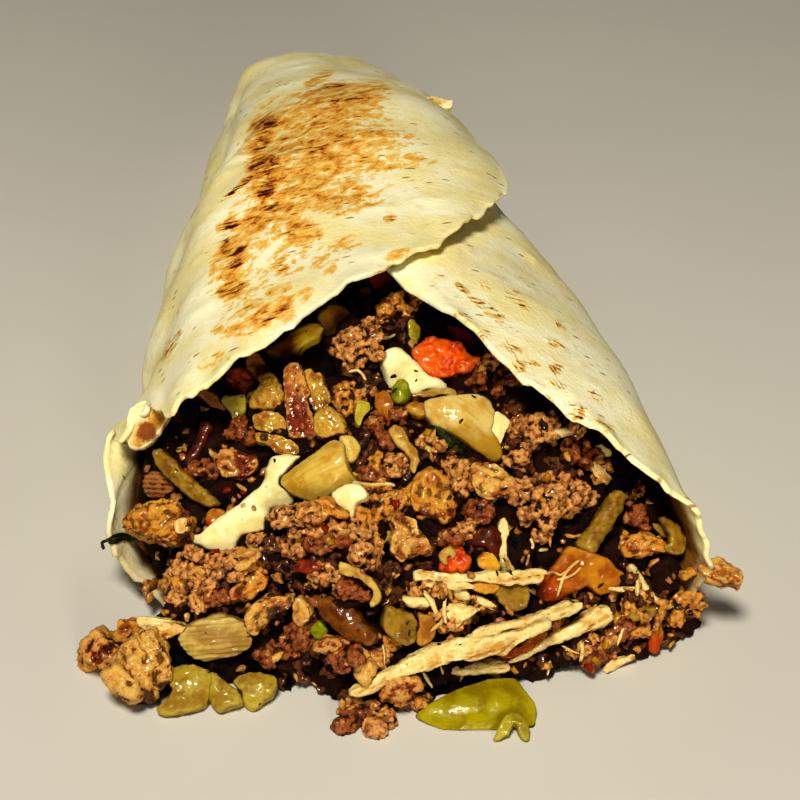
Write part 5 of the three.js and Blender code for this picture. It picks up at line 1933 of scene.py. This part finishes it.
THREADS = (
    Thread("dark_thread", "herb", 0.55, (101, 546, 104, 549, 102, 543, 108, 540, 114, 536, 122, 534, 130, 537,
        136, 541, 141, 540)),
    Thread("dark_stalk", "herb", 0.9, (108, 543, 116, 541, 124, 538, 132, 540, 143, 538)),
    Thread("cheese_thread", "strip", 0.8, (352, 482, 362, 484, 374, 485, 386, 484, 396, 486)),
    Thread("fine_shred_1", "strip", 0.6, (557, 598, 560, 588, 564, 576, 572, 566, 580, 560)),
    Thread("fine_shred_2", "strip", 0.5, (581, 567, 574, 574, 565, 578, 556, 580)),
    Thread("fine_shred_3", "strip", 0.5, (545, 574, 553, 572, 560, 575, 566, 571)),
    Thread("fine_shred_4", "strip", 0.6, (372, 343, 380, 338, 388, 338, 396, 334)),
    Thread("fine_shred_5", "strip", 0.6, (349, 372, 356, 370, 362, 374, 366, 381)),
    Thread("fine_shred_6", "strip", 0.5, (526, 566, 528, 560, 529, 554)),
    Thread("fine_shred_7", "strip", 0.6, (530, 538, 533, 545, 532, 549)),
)


# ---- loose bits
@dataclass(frozen=True)
class Bit:
    """One kind of loose bit.

    Attributes:
        name, slot, finish: The piece's name, the record's material slot, which is not used, and its finish.
        count, size: How many there are, and their least and greatest size in millimetres.
        shape: Its length, width and thickness as shares of its size.
        area: The least and greatest x, then y, where it lies, in roll millimetres.
        seed: The start of its chance.
        on_toppings: The share of those that fall on a topping and stay there.
    """

    name: str
    slot: str
    finish: Finish
    count: int
    size: tuple[float, float]
    shape: tuple[float, float, float]
    area: tuple[float, float, float, float]
    seed: int
    on_toppings: float = 0.1


HEAP_AREA = (-58.0, 60.0, -112.0, -34.0)
BITS = (
    Bit("beef_bits", "filling", BEEF, 170, (0.6, 1.7), (1.3, 1, 0.7), HEAP_AREA, 21, 0.05),
    Bit("chicken_bits", "chicken", CHICKEN_PALE, 60, (0.8, 1.9), (1.6, 0.8, 0.4), HEAP_AREA, 22, 0.05),
    Bit("onion_bits", "onion", ONION, 14, (0.8, 1.6), (1.5, 0.9, 0.4), HEAP_AREA, 23, 0.05),
    Bit("amber_bits", "onion", AMBER, 30, (0.8, 1.6), (1.5, 1, 0.4), HEAP_AREA, 24, 0.05),
    Bit("red_bits", "tomato", TOMATO_DARK, 8, (0.8, 1.6), (1.3, 1, 0.5), HEAP_AREA, 25, 0.05),
    Bit("herb_bits", "scallion", HERB, 130, (0.3, 0.9), (1.7, 0.7, 0.3), HEAP_AREA, 26, 0.5),
    Bit("strip_shreds", "strip", STRIP, 24, (3, 6), (1, 0.16, 0.13), (2, 34, -106, -84), 27, 0.1),
    Bit("loose_shreds", "strip", CHICKEN_PALE, 26, (1.6, 3.6), (1, 0.24, 0.16), HEAP_AREA, 28, 0.05),
)


@dataclass
class LooseBits:
    """Small bits that lie on whatever carries them."""

    meat: list[Piece]
    toppings: list[Piece]
    cover: Piece
    tries: int = 4  # for each bit
    drop: float = 200.0  # how far from its aim a bit starts, in millimetres

    def landing_places(
        self, bit: Bit, heap: BVHTree, clean: BVHTree, cover: BVHTree, dice: Dice
    ) -> list[tuple[Vector, Vector]]:
        """Returns the places and normals where one kind of bit lands."""
        places: list[tuple[Vector, Vector]] = []
        for _ in range(bit.count * self.tries):
            if len(places) == bit.count:
                break
            x = dice.uniform(*bit.area[:2])
            y = dice.uniform(*bit.area[2:])
            aim = (Vector((x, y, 0.0)) + Vector(ROLL_SHIFT)) * MM
            aim.z = dice.uniform(0.0, 30.0) * MM
            rise = dice.uniform(20.0, 85.0)
            back = heading(dice.uniform(-65.0, 65.0), rise)
            start = aim + back * (self.drop * MM)
            place, normal, _, distance = heap.ray_cast(start, -back)
            if place is None or place.z < 0.2 * MM:
                continue
            blocked = cover.ray_cast(start, -back)[3]
            if blocked is not None and blocked < distance:
                continue
            on_topping = clean.ray_cast(start, -back)
            if on_topping[0] is not None and on_topping[3] < distance:
                if dice.uniform() > bit.on_toppings:
                    continue
                place, normal = on_topping[:2]
            places.append((place, normal))
        return places

    def build(self, bit: Bit, heap: BVHTree, clean: BVHTree, cover: BVHTree) -> Piece:
        """Returns all bits of one kind as one piece."""
        dice = np.random.default_rng(bit.seed)
        pebbles = round_pebbles(0.4, dice)
        points: list[Array] = []
        faces: list[Array] = []
        for place, normal in self.landing_places(bit, heap, clean, cover, dice):
            shape, sides = pebbles[dice.integers(len(pebbles))]
            size = dice.uniform(*bit.size)
            scaled = shape * np.array(bit.shape) * size
            bow = dice.uniform(-0.5, 0.5) / size
            scaled[:, 1] += bow * scaled[:, 0] ** 2
            axes = self.axes_on(normal, dice)
            middle = np.array(place) + np.array(normal) * (0.18 * size * bit.shape[2] * MM)
            placed = scaled @ axes.T * MM + middle
            placed[:, 2] = np.maximum(placed[:, 2], 0.0)
            points.append(placed)
            faces.append(sides)
        piece = join_meshes(bit.name, points, faces)
        finish_piece(piece, bit.finish)
        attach(piece, BODY)
        return piece

    @staticmethod
    def axes_on(normal: Vector, dice: Dice) -> Array:
        """Returns turned axes whose third one leans a little off the normal, as columns."""
        upward = np.array(normal) + dice.normal(scale=0.25, size=3)
        upward /= np.linalg.norm(upward)
        along = np.cross(upward, dice.normal(size=3))
        along /= np.linalg.norm(along)
        return np.stack((along, np.cross(upward, along), upward), axis=1)

    def build_all(self) -> list[Piece]:
        """Returns a piece for each kind of loose bit."""
        heap = tree_of(self.meat)
        clean = tree_of(self.toppings)
        cover = tree_of([self.cover])
        return [self.build(bit, heap, clean, cover) for bit in BITS]


# ---- studio
@dataclass
class Studio:
    """The camera, the floor and the soft lights."""

    target: tuple[float, float, float] = (1.363, -49.677, 28.0)
    distance: float = 330.0
    azimuth: float = -6.4
    elevation: float = 37.0
    lens: float = 82.5
    key_place: tuple[float, float, float] = (-0.12, -0.38, 0.75)  # in metres
    front_place: tuple[float, float, float] = (0.08, -0.92, 0.2)
    ambient: float = 0.035
    floor_size: float = 6.0  # in metres
    floor_drop: float = 0.0002  # keeps the floor clear of the tortilla's underside

    def back(self) -> Vector:
        """Returns the direction from the burrito to the camera."""
        return heading(self.azimuth, self.elevation)

    def camera(self) -> None:
        """Places the camera in front of the mouth, looking down on it."""
        back = self.back()
        data = bpy.data.cameras.new("camera")
        data.lens = self.lens
        data.sensor_width = SENSOR
        data.clip_start = 0.01
        camera = new_object("camera", data)
        camera.location = (Vector(self.target) + back * self.distance) * MM
        camera.rotation_euler = back.to_track_quat("Z", "Y").to_euler()
        bpy.context.scene.camera = camera

    def light(
        self, name: str, place: tuple[float, float, float], size: float, power: float, colour: Colour
    ) -> None:
        """Adds a soft light that points at the burrito."""
        data = bpy.data.lights.new(name, "AREA")
        data.shape = "DISK"
        data.size = size
        data.energy = power
        data.color = colour
        lamp = new_object(name, data)
        lamp.location = place
        aim = Vector(self.target) * MM
        lamp.rotation_euler = (Vector(place) - aim).to_track_quat("Z", "Y").to_euler()

    def build(self) -> Piece:
        """Sets up the whole studio and returns its floor."""
        self.camera()
        self.light("key", self.key_place, 0.2, 5.0, (1.0, 0.94, 0.8))
        self.light("front", self.front_place, 0.24, 2.4, (1.0, 0.9, 0.74))
        world = bpy.data.worlds.new("studio")
        world.use_nodes = True
        background = world.node_tree.nodes["Background"]
        background.inputs[0].default_value = (1.0, 0.95, 0.88, 1.0)
        background.inputs[1].default_value = self.ambient
        bpy.context.scene.world = world
        bpy.context.scene.view_settings.view_transform = "Standard"
        bpy.context.scene.view_settings.look = "High Contrast"
        deselect_all()
        bpy.ops.mesh.primitive_plane_add(size=self.floor_size, location=(0.0, 0.0, -self.floor_drop))
        floor = bpy.context.active_object
        floor.name = "floor"
        bench = Bench("floor")
        soft = bench.noise(bench.place(), 60.0, 2.0)
        colour = bench.mix(soft, (0.6, 0.59, 0.57), (0.63, 0.62, 0.6))
        floor.data.materials.append(bench.dress(base_color=colour, roughness=0.6))
        return floor


def report(label: str, *pieces: Piece) -> None:
    """Logs how many pieces and faces a step has made."""
    log.info("%s: %d pieces, %d faces", label, len(pieces), sum(len(one.data.polygons) for one in pieces))


def main() -> None:
    """Builds the studio and the burrito, piece by piece."""
    logging.basicConfig(level=logging.INFO, format="%(message)s", stream=sys.stdout)
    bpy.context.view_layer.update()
    studio = Studio()
    floor = studio.build()
    sight = Sight(studio)
    heap = Heap()
    tortilla = Tortilla(sight).build()
    report("tortilla", tortilla)
    beef = Beef(sight)
    core = beef.core()
    report("core", core)
    toppings = [slab.build(sight, heap) for slab in SLABS if slab.has_node()]
    report("toppings", *toppings)
    inside = tree_of([core])
    ground = tree_of([core, tortilla, floor])
    cooked = tree_of(toppings)
    meat = [core]
    for crumble in CRUMBLES:
        meat.append(beef.crumbled(crumble, ground if crumble.base else inside, cooked))
        report(crumble.name, meat[-1])
    carrier = tree_of(meat + toppings)
    sheet = tree_of([tortilla])
    loose = [slab for slab in SLABS if not slab.has_node()]
    extras = [slab.build(sight, heap, sheet if slab.look == "bread" else carrier) for slab in loose]
    report("slices with no node", *extras)
    carrier = tree_of(meat + toppings + extras + [tortilla])
    threads = [thread.build(sight, carrier) for thread in THREADS]
    report("threads", *threads)
    for piece in LooseBits(meat, toppings + extras, tortilla).build_all():
        report(piece.name, piece)


if __name__ == "__main__":
    main()
